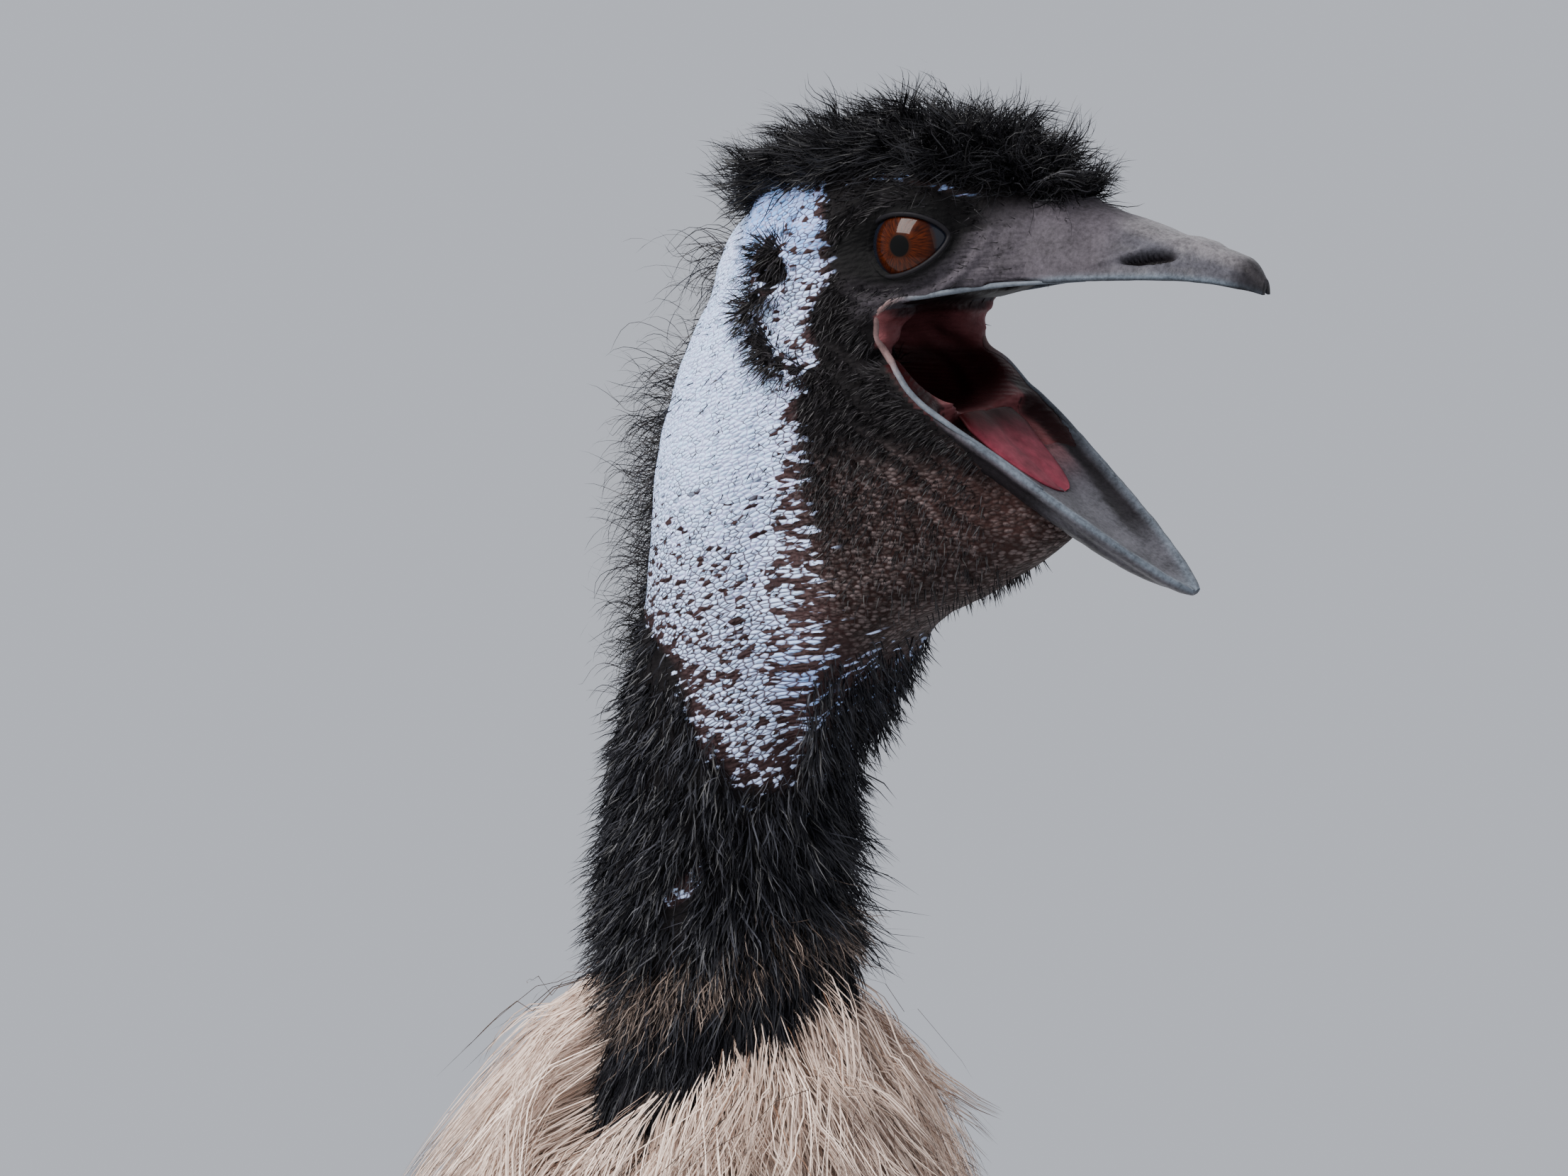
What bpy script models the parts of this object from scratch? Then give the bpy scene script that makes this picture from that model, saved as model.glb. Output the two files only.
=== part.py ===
"""A life-size emu that stands on both feet, with its neck up and its bill wide open.

Metres, +Z up. The bird faces +X, its left side is +Y, and its middle plane is y = 0 while it is
modelled. At the end the whole bird is moved so that the origin lies on the floor, under the
middle of its box. Sizes on the head are measured from a point midway between the eyes.
"""
import math
import random

import bmesh
import bpy
from mathutils import Matrix, Vector
from mathutils.bvhtree import BVHTree

# Driving dimensions
GAP = 0.0003
EYE_LEVEL = Vector((0.504, 0.0, 1.505))
EYE_RADIUS = 0.0135
EYE_OUT = 0.0155
LID_THICKNESS = 0.0016
GAPE = Vector((-0.008, 0.0, -0.020))
MANDIBLE_START = Vector((0.0046, 0.0, -0.0372))
MANDIBLE_HEADING = -36.3
MANDIBLE_LENGTH = 0.079
TONGUE_LENGTH = 0.034
NECK_CUT = EYE_LEVEL + Vector((-0.060, 0.0, -0.100))
NECK_CUT_NORMAL = Vector((0.35, 0.0, 0.94)).normalized()
FOLD = Vector((0.432, 0.0, 1.2999))
TORSO_CUT = Vector((0.305, 0.0, 1.005))
TORSO_CUT_NORMAL = Vector((0.62, 0.0, 0.78)).normalized()
TAIL_CUT_X = -0.360
HIP = Vector((-0.030, 0.125, 0.760))
HOCK = Vector((-0.135, 0.118, 0.425))
FOOT_JOINT = Vector((-0.075, 0.112, 0.036))
MIDDLE_TOE = 0.165
SIDE_TOE = 0.112
TOE_SPREAD = 29.0
CLAW_LENGTH = 0.034
SCUTE_COUNT = 12
SCUTE_LIFT = 0.0014
SIDES = (("left", 1), ("right", -1))
BEYOND_BIRD = 1.6
SHARP_EDGE = 40.0
SAME_PLACE = 0.00004
SLIVER = 0.000001


# The colours of each kind of surface
def material(name, colour, roughness):
    made = bpy.data.materials.new(name)
    made.use_nodes = True
    shader = made.node_tree.nodes["Principled BSDF"]
    shader.inputs["Base Color"].default_value = (*colour, 1.0)
    shader.inputs["Roughness"].default_value = roughness
    made.diffuse_color = (*colour, 1.0)
    return made


def finishes():
    return {
        "coat": material("coat", (0.10, 0.075, 0.055), 0.85),
        "ruff": material("ruff", (0.55, 0.48, 0.42), 0.85),
        "neck_skin": material("neck_skin", (0.45, 0.58, 0.72), 0.6),
        "face": material("face", (0.03, 0.027, 0.027), 0.7),
        "horn": material("horn", (0.11, 0.12, 0.14), 0.4),
        "tongue": material("tongue", (0.42, 0.14, 0.16), 0.35),
        "eye": material("eye", (0.16, 0.04, 0.01), 0.05),
        "leg_skin": material("leg_skin", (0.16, 0.14, 0.12), 0.55),
        "claw": material("claw", (0.05, 0.045, 0.04), 0.4),
    }


# Tools that every sub-part is made with
def new_object(name, bm, finish=None):
    mesh = bpy.data.meshes.new(name)
    bm.to_mesh(mesh)
    bm.free()
    made = bpy.data.objects.new(name, mesh)
    bpy.context.scene.collection.objects.link(made)
    if finish:
        mesh.materials.append(finish)
    return made


def oval(half_width, up, down, sides, power=2.0):
    """One section round a line, as pairs of a distance across and a height."""
    outline = []
    for corner in range(sides):
        turn = 2 * math.pi * corner / sides
        across, height = math.cos(turn), math.sin(turn)
        across = math.copysign(abs(across) ** (2 / power), across) * half_width
        height = math.copysign(abs(height) ** (2 / power), height) * (up if height > 0 else down)
        outline.append((across, height))
    return outline


def section(centre, heading, outline):
    """Sets an outline square to a line that climbs at heading degrees from +X."""
    turn = math.radians(heading)
    rise = Vector((-math.sin(turn), 0.0, math.cos(turn)))
    side = Vector((0.0, 1.0, 0.0))
    return [centre + side * across + rise * height for across, height in outline]


def loft(name, rings, finish=None):
    """Joins rings of as many points each into one closed skin."""
    bm = bmesh.new()
    loops = []
    for points in rings:
        corners = [bm.verts.new(point) for point in points]
        loops.append([bm.edges.new((corners[i - 1], corners[i])) for i in range(len(corners))])
    for first, second in zip(loops, loops[1:]):
        bmesh.ops.bridge_loops(bm, edges=first + second)
    for end in (loops[0], loops[-1]):
        bmesh.ops.contextual_create(bm, geom=end)
    bmesh.ops.triangulate(bm, faces=bm.faces)
    bmesh.ops.recalc_face_normals(bm, faces=bm.faces)
    return new_object(name, bm, finish)


def prism(name, outline, half_width):
    """A flat outline in the middle plane, made as thick as 2 half_width."""
    bm = bmesh.new()
    face = bm.faces.new([bm.verts.new((x, -half_width, z)) for x, z in outline])
    grown = bmesh.ops.extrude_face_region(bm, geom=[face])
    moved = [item for item in grown["geom"] if isinstance(item, bmesh.types.BMVert)]
    bmesh.ops.translate(bm, verts=moved, vec=(0.0, 2 * half_width, 0.0))
    bmesh.ops.triangulate(bm, faces=bm.faces)
    bmesh.ops.recalc_face_normals(bm, faces=bm.faces)
    return new_object(name, bm)


def ball(name, centre, radius, scale=(1, 1, 1), segments=14, finish=None):
    bm = bmesh.new()
    place = Matrix.Translation(centre) @ Matrix.Diagonal((*scale, 1))
    bmesh.ops.create_uvsphere(
        bm, u_segments=segments, v_segments=segments // 2, radius=radius, matrix=place
    )
    bmesh.ops.triangulate(bm, faces=bm.faces)
    return new_object(name, bm, finish)


def half_space(name, point, normal):
    """A large box whose one face lies in the plane, on the side that normal points to."""
    bm = bmesh.new()
    turn = normal.to_track_quat("Z", "Y").to_matrix().to_4x4()
    centre = Matrix.Translation((0.0, 0.0, BEYOND_BIRD / 2))
    bmesh.ops.create_cube(bm, size=BEYOND_BIRD, matrix=Matrix.Translation(point) @ turn @ centre)
    bmesh.ops.triangulate(bm, faces=bm.faces)
    return new_object(name, bm)


def boolean(target, others, operation):
    """Joins, cuts or keeps by other closed meshes, applies it and removes them."""
    group = bpy.data.collections.new("operands")
    bpy.context.scene.collection.children.link(group)
    for other in others:
        group.objects.link(other)
    step = target.modifiers.new(operation, "BOOLEAN")
    step.operation = operation
    step.solver = "MANIFOLD"
    step.operand_type = "COLLECTION"
    step.collection = group
    bpy.context.view_layer.update()
    graph = bpy.context.evaluated_depsgraph_get()
    result = bpy.data.meshes.new_from_object(target.evaluated_get(graph))
    target.modifiers.clear()
    target.data = result
    result.name = target.name
    for other in others:
        bpy.data.objects.remove(other)
    bpy.data.collections.remove(group)
    return target


def close_short_edges(bm):
    """Merges corners that a cut leaves in almost one place, where that keeps the surface closed,

    and turns the long edge of a face that has no width.
    """
    found = True
    while found:
        found = False
        for edge in sorted(bm.edges, key=lambda edge: edge.calc_length()):
            if edge.calc_length() > SAME_PLACE:
                break
            first, second = edge.verts
            around = [{near.other_vert(end) for near in end.link_edges} for end in edge.verts]
            if len(around[0] & around[1]) == 2:
                bmesh.ops.pointmerge(bm, verts=[first, second], merge_co=first.co)
                found = True
                break
    longest = [max(face.edges, key=lambda edge: edge.calc_length()) for face in bm.faces]
    thin = {edge for face, edge in zip(bm.faces, longest)
            if face.calc_area() < edge.calc_length() * SLIVER}
    bmesh.ops.rotate_edges(bm, edges=list(thin))


def keep_largest(target):
    """Leaves only the closed surface that holds the most, and smooth shading on it."""
    bm = bmesh.new()
    bm.from_mesh(target.data)
    bmesh.ops.triangulate(bm, faces=bm.faces)
    close_short_edges(bm)
    waiting = set(bm.faces)
    islands = []
    while waiting:
        island = [waiting.pop()]
        for face in island:
            for edge in face.edges:
                for linked in edge.link_faces:
                    if linked in waiting:
                        waiting.remove(linked)
                        island.append(linked)
        islands.append(island)

    def volume(island):
        corners = [[corner.co for corner in face.verts] for face in island]
        return sum(a.dot(b.cross(c)) for a, b, c in corners)

    islands.sort(key=volume)
    dropped = [face for island in islands[:-1] for face in island]
    bmesh.ops.delete(bm, geom=dropped, context="FACES")
    bm.to_mesh(target.data)
    bm.free()
    target.data.shade_smooth()
    target.data.set_sharp_from_angle(angle=math.radians(SHARP_EDGE))
    return target


def surface_of(target):
    """A copy of an object's surface that can be asked for its nearest place."""
    bm = bmesh.new()
    bm.from_mesh(target.data)
    found = BVHTree.FromBMesh(bm)
    bm.free()
    return found


# A lock bends at these shares of its length, and is this wide there, before its pointed tip
LOCK_STEPS = (0.0, 0.33, 0.70, 1.0)
LOCK_WIDTHS = (0.55, 1.00, 0.72)
LOCK_CLEAR = 0.32
DOWN = Vector((0.0, 0.0, -1.0))


def lock(surface, root, flow, length, width, depth, lift, droop, clear=LOCK_CLEAR):
    """A tapered lock with a ridge down its back, rooted in the surface, that lies along flow.

    It is lift above the surface at its tip, and already clear times that soon after its root.
    """
    close, out, _, _ = surface.find_nearest(root)
    heading = (flow - out * flow.dot(out)).normalized()
    point = close - out * (depth + lift / 2)
    spots = [(point, out)]
    for last, share in zip(LOCK_STEPS, LOCK_STEPS[1:]):
        point = point + heading * length * (share - last)
        close, near_out, _, _ = surface.find_nearest(point)
        wanted = lift * (clear + (1 - clear) * share)
        heading = (heading + DOWN * droop).normalized()
        if (point - close).dot(near_out) < wanted:
            out = near_out
            point = close + out * wanted
            heading = (heading - out * heading.dot(out)).normalized()
        spots.append((point, out))
    bm = bmesh.new()
    loops = []
    tip = spots[-1][0]
    for (spot, out), (after, _), share in zip(spots, spots[1:], LOCK_WIDTHS):
        across = (after - spot).cross(out).normalized() * width / 2 * share
        corners = [bm.verts.new(spot + move) for move in (across, out * depth * share, -across)]
        loops.append([bm.edges.new((corners[i - 1], corners[i])) for i in range(3)])
    end = [bm.verts.new(corner.co.lerp(tip, 0.5)) for corner in corners]
    loops.append([bm.edges.new((end[i - 1], end[i])) for i in range(3)])
    for first, second in zip(loops, loops[1:]):
        bmesh.ops.bridge_loops(bm, edges=first + second)
    bmesh.ops.contextual_create(bm, geom=loops[0])
    bmesh.ops.pointmerge(bm, verts=end, merge_co=tip)
    bmesh.ops.triangulate(bm, faces=bm.faces)
    bmesh.ops.recalc_face_normals(bm, faces=bm.faces)
    return new_object("lock", bm)


def copy_of(target, name):
    made = bpy.data.objects.new(name, target.data.copy())
    bpy.context.scene.collection.objects.link(made)
    return made


# Trunk and lower neck: sections from the rump, along the back and up to the fold of the neck,
# each as its place, the climb of its line, the coat's reach up, down and to each side, and how
# far the core of the coat lies inside the tips of its locks
TRUNK = (
    (-0.505, 0.765, 0, 0.050, 0.060, 0.045, 0.020),
    (-0.480, 0.775, 0, 0.090, 0.105, 0.085, 0.034),
    (-0.420, 0.800, 0, 0.150, 0.170, 0.150, 0.036),
    (-0.340, 0.830, 0, 0.205, 0.220, 0.215, 0.036),
    (-0.220, 0.850, 0, 0.245, 0.245, 0.255, 0.036),
    (-0.060, 0.860, 0, 0.255, 0.250, 0.265, 0.036),
    (0.080, 0.868, 2, 0.243, 0.240, 0.250, 0.036),
    (0.190, 0.900, 18, 0.205, 0.235, 0.215, 0.036),
    (0.265, 0.955, 40, 0.155, 0.195, 0.172, 0.036),
    (0.325, 1.035, 54, 0.124, 0.140, 0.138, 0.035),
    (0.375, 1.115, 64, 0.106, 0.108, 0.112, 0.032),
    (0.408, 1.190, 74, 0.092, 0.092, 0.094, 0.028),
    (0.424, 1.243, 81, 0.076, 0.076, 0.077, 0.023),
    (0.430, 1.278, 85, 0.057, 0.057, 0.057, 0.016),
    (0.432, 1.2997, 90, 0.034, 0.034, 0.034, 0.001),
)
TRUNK_SIDES = 18


def trunk_core(name, finish):
    rings = []
    for x, z, heading, up, down, half_width, inset in TRUNK:
        outline = oval(half_width - inset, up - inset, down - inset, TRUNK_SIDES)
        rings.append(section(Vector((x, 0.0, z)), heading, outline))
    return loft(name, rings, finish)


def trunk_spot(along, turn):
    """A place on the coat, along the list of sections, and turned from the back to the left."""
    first = min(int(along), len(TRUNK) - 2)
    share = along - first
    x, z, heading, up, down, half_width, _ = (
        a + (b - a) * share for a, b in zip(TRUNK[first], TRUNK[first + 1])
    )
    across = math.sin(math.radians(turn)) * half_width
    height = math.cos(math.radians(turn))
    height *= up if height > 0 else down
    return section(Vector((x, 0.0, z)), heading, [(across, height)])[0]


# Rows of locks on the trunk: where each row is, its first and last turn from the back, how many
# locks it has on each side, and their length, width, depth, lift and droop
TORSO_ROWS = (
    (8.65, 10, 150, 4, 0.18, 0.078, 0.008, 0.031, 0.06),
    (7.90, 22, 160, 5, 0.23, 0.084, 0.009, 0.033, 0.09),
    (7.10, 7, 150, 6, 0.26, 0.088, 0.009, 0.034, 0.12),
    (6.25, 20, 140, 5, 0.28, 0.094, 0.009, 0.034, 0.14),
    (5.45, 7, 128, 5, 0.28, 0.098, 0.009, 0.034, 0.16),
    (4.65, 20, 140, 5, 0.28, 0.098, 0.009, 0.034, 0.16),
    (3.90, 7, 128, 5, 0.25, 0.092, 0.009, 0.034, 0.18),
)
TAIL_ROWS = (
    (3.00, 20, 125, 4, 0.23, 0.086, 0.008, 0.030, 0.30),
    (2.10, 8, 112, 4, 0.25, 0.076, 0.008, 0.028, 0.50),
    (1.45, 22, 100, 3, 0.23, 0.066, 0.008, 0.020, 1.20),
)
RUFF_ROWS = (
    (13.80, 0, 155, 4, 0.080, 0.034, 0.004, 0.015, 0.06),
    (12.60, 20, 160, 4, 0.110, 0.050, 0.005, 0.020, 0.06),
    (11.20, 0, 165, 5, 0.135, 0.066, 0.007, 0.025, 0.08),
    (9.80, 18, 165, 5, 0.150, 0.080, 0.008, 0.029, 0.10),
)
MIDDLE_TURN = 5
BODY_FLOW = Vector((-0.75, 0.75, -1.0))
TAIL_FLOW = Vector((-0.55, 0.30, -1.2))
RUFF_FLOW = Vector((-0.45, 0.0, -1.0))


def rows_of_locks(core, rows, flow, seed):
    """Locks in staggered rows on both sides of the back, each a little unlike the next."""
    draw = random.Random(seed)
    surface = surface_of(core)
    made = []
    for along, start, last, count, length, width, depth, lift, droop in rows:
        for place in range(count):
            turn = start + (last - start) * place / (count - 1)
            for side in (1, -1) if turn > MIDDLE_TURN else (1,):
                row_place = along + draw.uniform(-0.12, 0.12)
                root = trunk_spot(row_place, side * (turn + draw.uniform(-4, 4)))
                lie = Vector((flow.x, side * flow.y, flow.z + draw.uniform(-0.2, 0.2)))
                size = draw.uniform(0.88, 1.12)
                made.append(lock(surface, root, lie, length * size, width * size, depth,
                                 lift * draw.uniform(0.9, 1.0), droop))
    return made


def torso_tail_and_ruff(finish, thigh_clearances):
    torso = trunk_core("torso", finish["coat"])
    ruff = trunk_core("neck_lower", finish["ruff"])
    tail = trunk_core("tail", finish["coat"])
    boolean(torso, rows_of_locks(torso, TORSO_ROWS, BODY_FLOW, 3), "UNION")
    boolean(tail, rows_of_locks(tail, TAIL_ROWS, TAIL_FLOW, 5), "UNION")
    boolean(ruff, rows_of_locks(ruff, RUFF_ROWS, RUFF_FLOW, 8), "UNION")
    forward = Vector((1.0, 0.0, 0.0))
    tail_cut = Vector((TAIL_CUT_X, 0.0, 0.8))
    boolean(ruff, [half_space("keep", TORSO_CUT, TORSO_CUT_NORMAL)], "INTERSECT")
    above = half_space("above", FOLD, Vector((0.0, 0.0, 1.0)))
    boolean(ruff, [above], "DIFFERENCE")
    boolean(tail, [half_space("keep", tail_cut, -forward)], "INTERSECT")
    front = half_space("front", TORSO_CUT - TORSO_CUT_NORMAL * GAP, TORSO_CUT_NORMAL)
    rear = half_space("rear", tail_cut + forward * GAP, -forward)
    boolean(torso, [front, rear, *thigh_clearances], "DIFFERENCE")
    for made in (torso, ruff, tail):
        keep_largest(made)


# Upper neck: from the fold up to the throat, leaning a little forward
NECK = (
    (-0.0720, -0.2048, 90, 0.0335, 0.0335, 0.0335),
    (-0.0735, -0.1800, 86, 0.0330, 0.0330, 0.0330),
    (-0.0715, -0.1550, 84, 0.0325, 0.0320, 0.0325),
    (-0.0675, -0.1300, 80, 0.0320, 0.0330, 0.0325),
    (-0.0630, -0.1080, 80, 0.0315, 0.0340, 0.0315),
    (-0.0600, -0.0880, 84, 0.0300, 0.0300, 0.0300),
    (-0.0570, -0.0650, 86, 0.0295, 0.0300, 0.0300),
    (-0.0510, -0.0400, 78, 0.0285, 0.0290, 0.0290),
    (-0.0450, -0.0150, 78, 0.0250, 0.0240, 0.0250),
)
NECK_SIDES = 16


def neck_tube(name, finish=None):
    rings = []
    for x, z, heading, back, front, half_width in NECK:
        outline = oval(half_width, back, front, NECK_SIDES)
        rings.append(section(EYE_LEVEL + Vector((x, 0.0, z)), heading, outline))
    return loft(name, rings, finish)


# Skull and upper bill: each section's place, top, bottom, half width, widest level and roundness
SKULL = (
    (-0.0720, -0.0040, -0.0260, 0.0100, -0.014, 2.0),
    (-0.0660, 0.0080, -0.0380, 0.0190, -0.014, 2.0),
    (-0.0500, 0.0200, -0.0460, 0.0265, -0.014, 2.1),
    (-0.0300, 0.0255, -0.0480, 0.0300, -0.013, 2.1),
    (-0.0120, 0.0272, -0.0420, 0.0300, -0.010, 2.1),
    (0.0020, 0.0262, -0.0280, 0.0275, -0.008, 2.1),
    (0.0140, 0.0215, -0.0150, 0.0250, -0.009, 2.0),
    (0.0260, 0.0160, -0.0100, 0.0220, -0.0085, 1.8),
    (0.0410, 0.0095, -0.0080, 0.0190, -0.0070, 1.7),
    (0.0540, 0.0055, -0.0073, 0.0160, -0.0063, 1.7),
    (0.0655, 0.0018, -0.0071, 0.0122, -0.0061, 1.7),
    (0.0750, -0.0006, -0.0078, 0.0088, -0.0066, 1.8),
    (0.0820, -0.0032, -0.0092, 0.0052, -0.0076, 2.0),
    (0.0859, -0.0074, -0.0108, 0.0018, -0.0092, 2.0),
)
HEAD_SIDES = 16

# Throat, from inside the neck up to the jaw: level sections with their front and half width
THROAT = (
    (-0.1350, -0.0400, 0.0140),
    (-0.1200, -0.0270, 0.0225),
    (-0.1080, -0.0190, 0.0275),
    (-0.0980, -0.0080, 0.0285),
    (-0.0880, 0.0110, 0.0285),
    (-0.0780, 0.0270, 0.0275),
    (-0.0700, 0.0350, 0.0275),
    (-0.0580, 0.0330, 0.0290),
    (-0.0440, 0.0200, 0.0305),
    (-0.0300, 0.0040, 0.0310),
    (-0.0160, -0.0020, 0.0290),
)
THROAT_CENTRE = -0.030
THROAT_BACK = 0.032

# Lower bill: how far along, half width and depth
MANDIBLE = (
    (-0.014, 0.0290, 0.0200),
    (0.000, 0.0295, 0.0160),
    (0.014, 0.0270, 0.0130),
    (0.026, 0.0230, 0.0110),
    (0.042, 0.0185, 0.0100),
    (0.0566, 0.0138, 0.0085),
    (0.070, 0.0080, 0.0055),
    (0.076, 0.0042, 0.0034),
    (0.079, 0.0014, 0.0014),
)
BILL_TOP = 0.0030
BILL_WALL = 0.0022
BILL_FLOOR = 0.0045
BILL_FLARE = 0.006
HEAD_HALF_WIDTH = 0.05
BEYOND_BILL = 0.12

# Inside the mouth: the rounded corner of the gape, the edge of the upper bill, the hollow of the
# throat, and the vault of the palate as its place, half width and rise
GAPE_CORNER = ((0.0012, -0.0055), (0.0, 0.0), (0.0034, 0.0050))
UPPER_EDGE = ((0.0054, -0.0128), (0.0233, -0.0098), (0.0600, -0.0070), (0.0860, -0.0100))
THROAT_HOLLOW = Vector((0.001, 0.0, -0.030))
THROAT_HOLLOW_RADIUS = 0.021
PALATE = ((0.008, 0.0200, 0.0004), (0.030, 0.0170, 0.0034), (0.055, 0.0125, 0.0034),
          (0.072, 0.0060, 0.0016))
PALATE_LEVEL = -0.0085
MOUTH_SIDES = 12


def along_mandible(distance, depth=0.0):
    turn = math.radians(MANDIBLE_HEADING)
    ahead = Vector((math.cos(turn), 0.0, math.sin(turn)))
    below = Vector((math.sin(turn), 0.0, -math.cos(turn)))
    return EYE_LEVEL + MANDIBLE_START + ahead * distance + below * depth


def from_eye(outline):
    """Moves a flat outline, measured from the eyes, to its place on the bird."""
    return [(EYE_LEVEL.x + x, EYE_LEVEL.z + z) for x, z in outline]


def head_pieces():
    """The closed shapes that together make the head with its open bill."""
    skull = []
    for x, top, bottom, half_width, widest, power in SKULL:
        outline = oval(half_width, top - widest, widest - bottom, HEAD_SIDES, power)
        skull.append(section(EYE_LEVEL + Vector((x, 0.0, widest)), 0, outline))
    throat = []
    for z, front, half_width in THROAT:
        outline = oval(half_width, THROAT_BACK, front - THROAT_CENTRE, HEAD_SIDES)
        throat.append(section(EYE_LEVEL + Vector((THROAT_CENTRE, 0.0, z)), 90, outline))
    jaw = []
    for distance, half_width, depth in MANDIBLE:
        outline = oval(half_width, BILL_TOP, depth, HEAD_SIDES, 2.2)
        jaw.append(section(along_mandible(distance), MANDIBLE_HEADING, outline))
    return loft("head", skull), loft("throat", throat), loft("jaw", jaw)


def mouth_cutters():
    """The open wedge of the mouth, the hollow behind it, the palate and the lower trough."""
    corner = [(GAPE.x + x, GAPE.z + z) for x, z in GAPE_CORNER]
    start = along_mandible(0) - EYE_LEVEL
    end = along_mandible(MANDIBLE_LENGTH) - EYE_LEVEL
    wedge = [*corner, *UPPER_EDGE, (BEYOND_BILL, -0.012), (BEYOND_BILL, -0.105)]
    wedge += [(end.x, end.z), (start.x, start.z), (-0.0010, -0.0310)]
    hollow = ball("hollow", EYE_LEVEL + THROAT_HOLLOW, THROAT_HOLLOW_RADIUS, (1.45, 1.0, 0.62))
    palate = []
    for x, half_width, rise in PALATE:
        outline = oval(half_width, rise, BILL_FLARE, MOUTH_SIDES)
        palate.append(section(EYE_LEVEL + Vector((x, 0.0, PALATE_LEVEL)), 0, outline))
    trough = []
    for distance, half_width, depth in MANDIBLE[:-2]:
        outline = oval(half_width - BILL_WALL, BILL_FLARE, max(0.0006, depth - BILL_FLOOR),
                       MOUTH_SIDES)
        trough.append(section(along_mandible(distance), MANDIBLE_HEADING, outline))
    return [prism("wedge", from_eye(wedge), HEAD_HALF_WIDTH), hollow, loft("palate", palate),
            loft("trough", trough)]


def bill_regions():
    """Where the horn of the upper and of the lower bill begins, as outlines of two prisms."""
    upper = [(-0.0020, -0.0180), (0.0420, 0.0105), (0.052, 0.030), (BEYOND_BILL, 0.030),
             (BEYOND_BILL, -0.050), (0.002, -0.024)]
    lower = [(0.0080, -0.0300), (-0.0020, -0.0480), (0.0400, -0.0790), (BEYOND_BILL, -0.120),
             (BEYOND_BILL, -0.052)]
    return {"upper": from_eye(upper), "lower": from_eye(lower)}


def on_side(point, side):
    return Vector((point.x, point.y * side, point.z))


# How far the face stays back from the horn of each bill
HORN_GAP = {"upper": Vector((-GAP, 0.0, GAP)), "lower": Vector((-GAP, 0.0, GAP * 0.2))}


def eye_centre(side):
    return EYE_LEVEL + Vector((0.0, side * EYE_OUT, 0.0))


# The opening between the lids: half its length, its reach up and down, and its tilt
OPENING = (0.0134, 0.0078, 0.0076, 11.0)
OPENING_CORNERS = 14


def almond(name, side):
    """The opening between the lids: a pointed oval that rises towards the bill."""
    length, upper, lower, slant = OPENING
    tilt = math.radians(slant)
    bm = bmesh.new()
    points = []
    for corner in range(OPENING_CORNERS):
        turn = 2 * math.pi * corner / OPENING_CORNERS
        x = math.cos(turn) * length
        z = math.copysign(abs(math.sin(turn)) ** 1.2, math.sin(turn))
        z *= upper if z > 0 else lower
        points.append((x * math.cos(tilt) - z * math.sin(tilt),
                       x * math.sin(tilt) + z * math.cos(tilt)))
    start = EYE_LEVEL + Vector((0.0, side * EYE_OUT * 1.35, 0.0))
    face = bm.faces.new([bm.verts.new(start + Vector((x, 0.0, z))) for x, z in points])
    grown = bmesh.ops.extrude_face_region(bm, geom=[face])
    moved = [item for item in grown["geom"] if isinstance(item, bmesh.types.BMVert)]
    bmesh.ops.translate(bm, verts=moved, vec=(0.0, side * 0.03, 0.0))
    bmesh.ops.triangulate(bm, faces=bm.faces)
    bmesh.ops.recalc_face_normals(bm, faces=bm.faces)
    return new_object(name, bm)


NOSTRIL = Vector((0.0620, 0.0122, -0.0022))
NOSTRIL_HALF_LENGTH = 0.0070
EAR = Vector((-0.0380, 0.0285, -0.0080))
EAR_RIM = 0.0078
EAR_CUP = 0.0042


# The crest on the crown and the loose tufts down the nape: each row's place, how far apart its
# locks stand, and their length and lift
CREST_ROWS = (
    (0.036, 0.0120, (0.0, 0.9), 0.024, 0.014),
    (0.022, 0.0200, (0.5, 1.4), 0.028, 0.020),
    (0.006, 0.0250, (0.0, 1.0, 2.0), 0.030, 0.020),
    (-0.012, 0.0265, (0.6, 1.6), 0.032, 0.019),
    (-0.032, 0.0250, (0.0, 1.1), 0.034, 0.018),
    (-0.050, 0.0190, (0.6, 1.6), 0.034, 0.017),
    (-0.066, 0.0060, (0.0, 1.1), 0.032, 0.015),
    (-0.078, -0.0200, (0.7,), 0.030, 0.011),
    (-0.085, -0.0460, (0.0, 1.3), 0.028, 0.009),
)
CREST_SPACING = 0.0090
CREST_WIDTH = 0.0105
CREST_DEPTH = 0.0020


def crest_locks(skull):
    draw = random.Random(11)
    shell = copy_of(skull, "shell")
    surface = surface_of(boolean(shell, [neck_tube("nape")], "UNION"))
    bpy.data.objects.remove(shell)
    made = []
    for x, z, places, length, lift in CREST_ROWS:
        for place in places:
            for side in (1, -1) if place else (1,):
                root = EYE_LEVEL + Vector((x, side * place * CREST_SPACING, z))
                lie = Vector((-1.0, side * place * 0.25 + draw.uniform(-0.3, 0.3), -0.2))
                size = draw.uniform(0.85, 1.15)
                made.append(lock(surface, root, lie, length * size, CREST_WIDTH * size,
                                 CREST_DEPTH, lift * size, -0.09, 0.05))
    return made


# The dark sleeve of short stiff feathers above the fold: each row's height and first turn
SLEEVE_ROWS = ((-0.150, 0), (-0.175, 25))
SLEEVE_COUNT = 6
SLEEVE_AXIS = -0.072
SLEEVE_LENGTH = 0.038
SLEEVE_WIDTH = 0.022
SLEEVE_DEPTH = 0.0022
SLEEVE_LIFT = 0.0085


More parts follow.
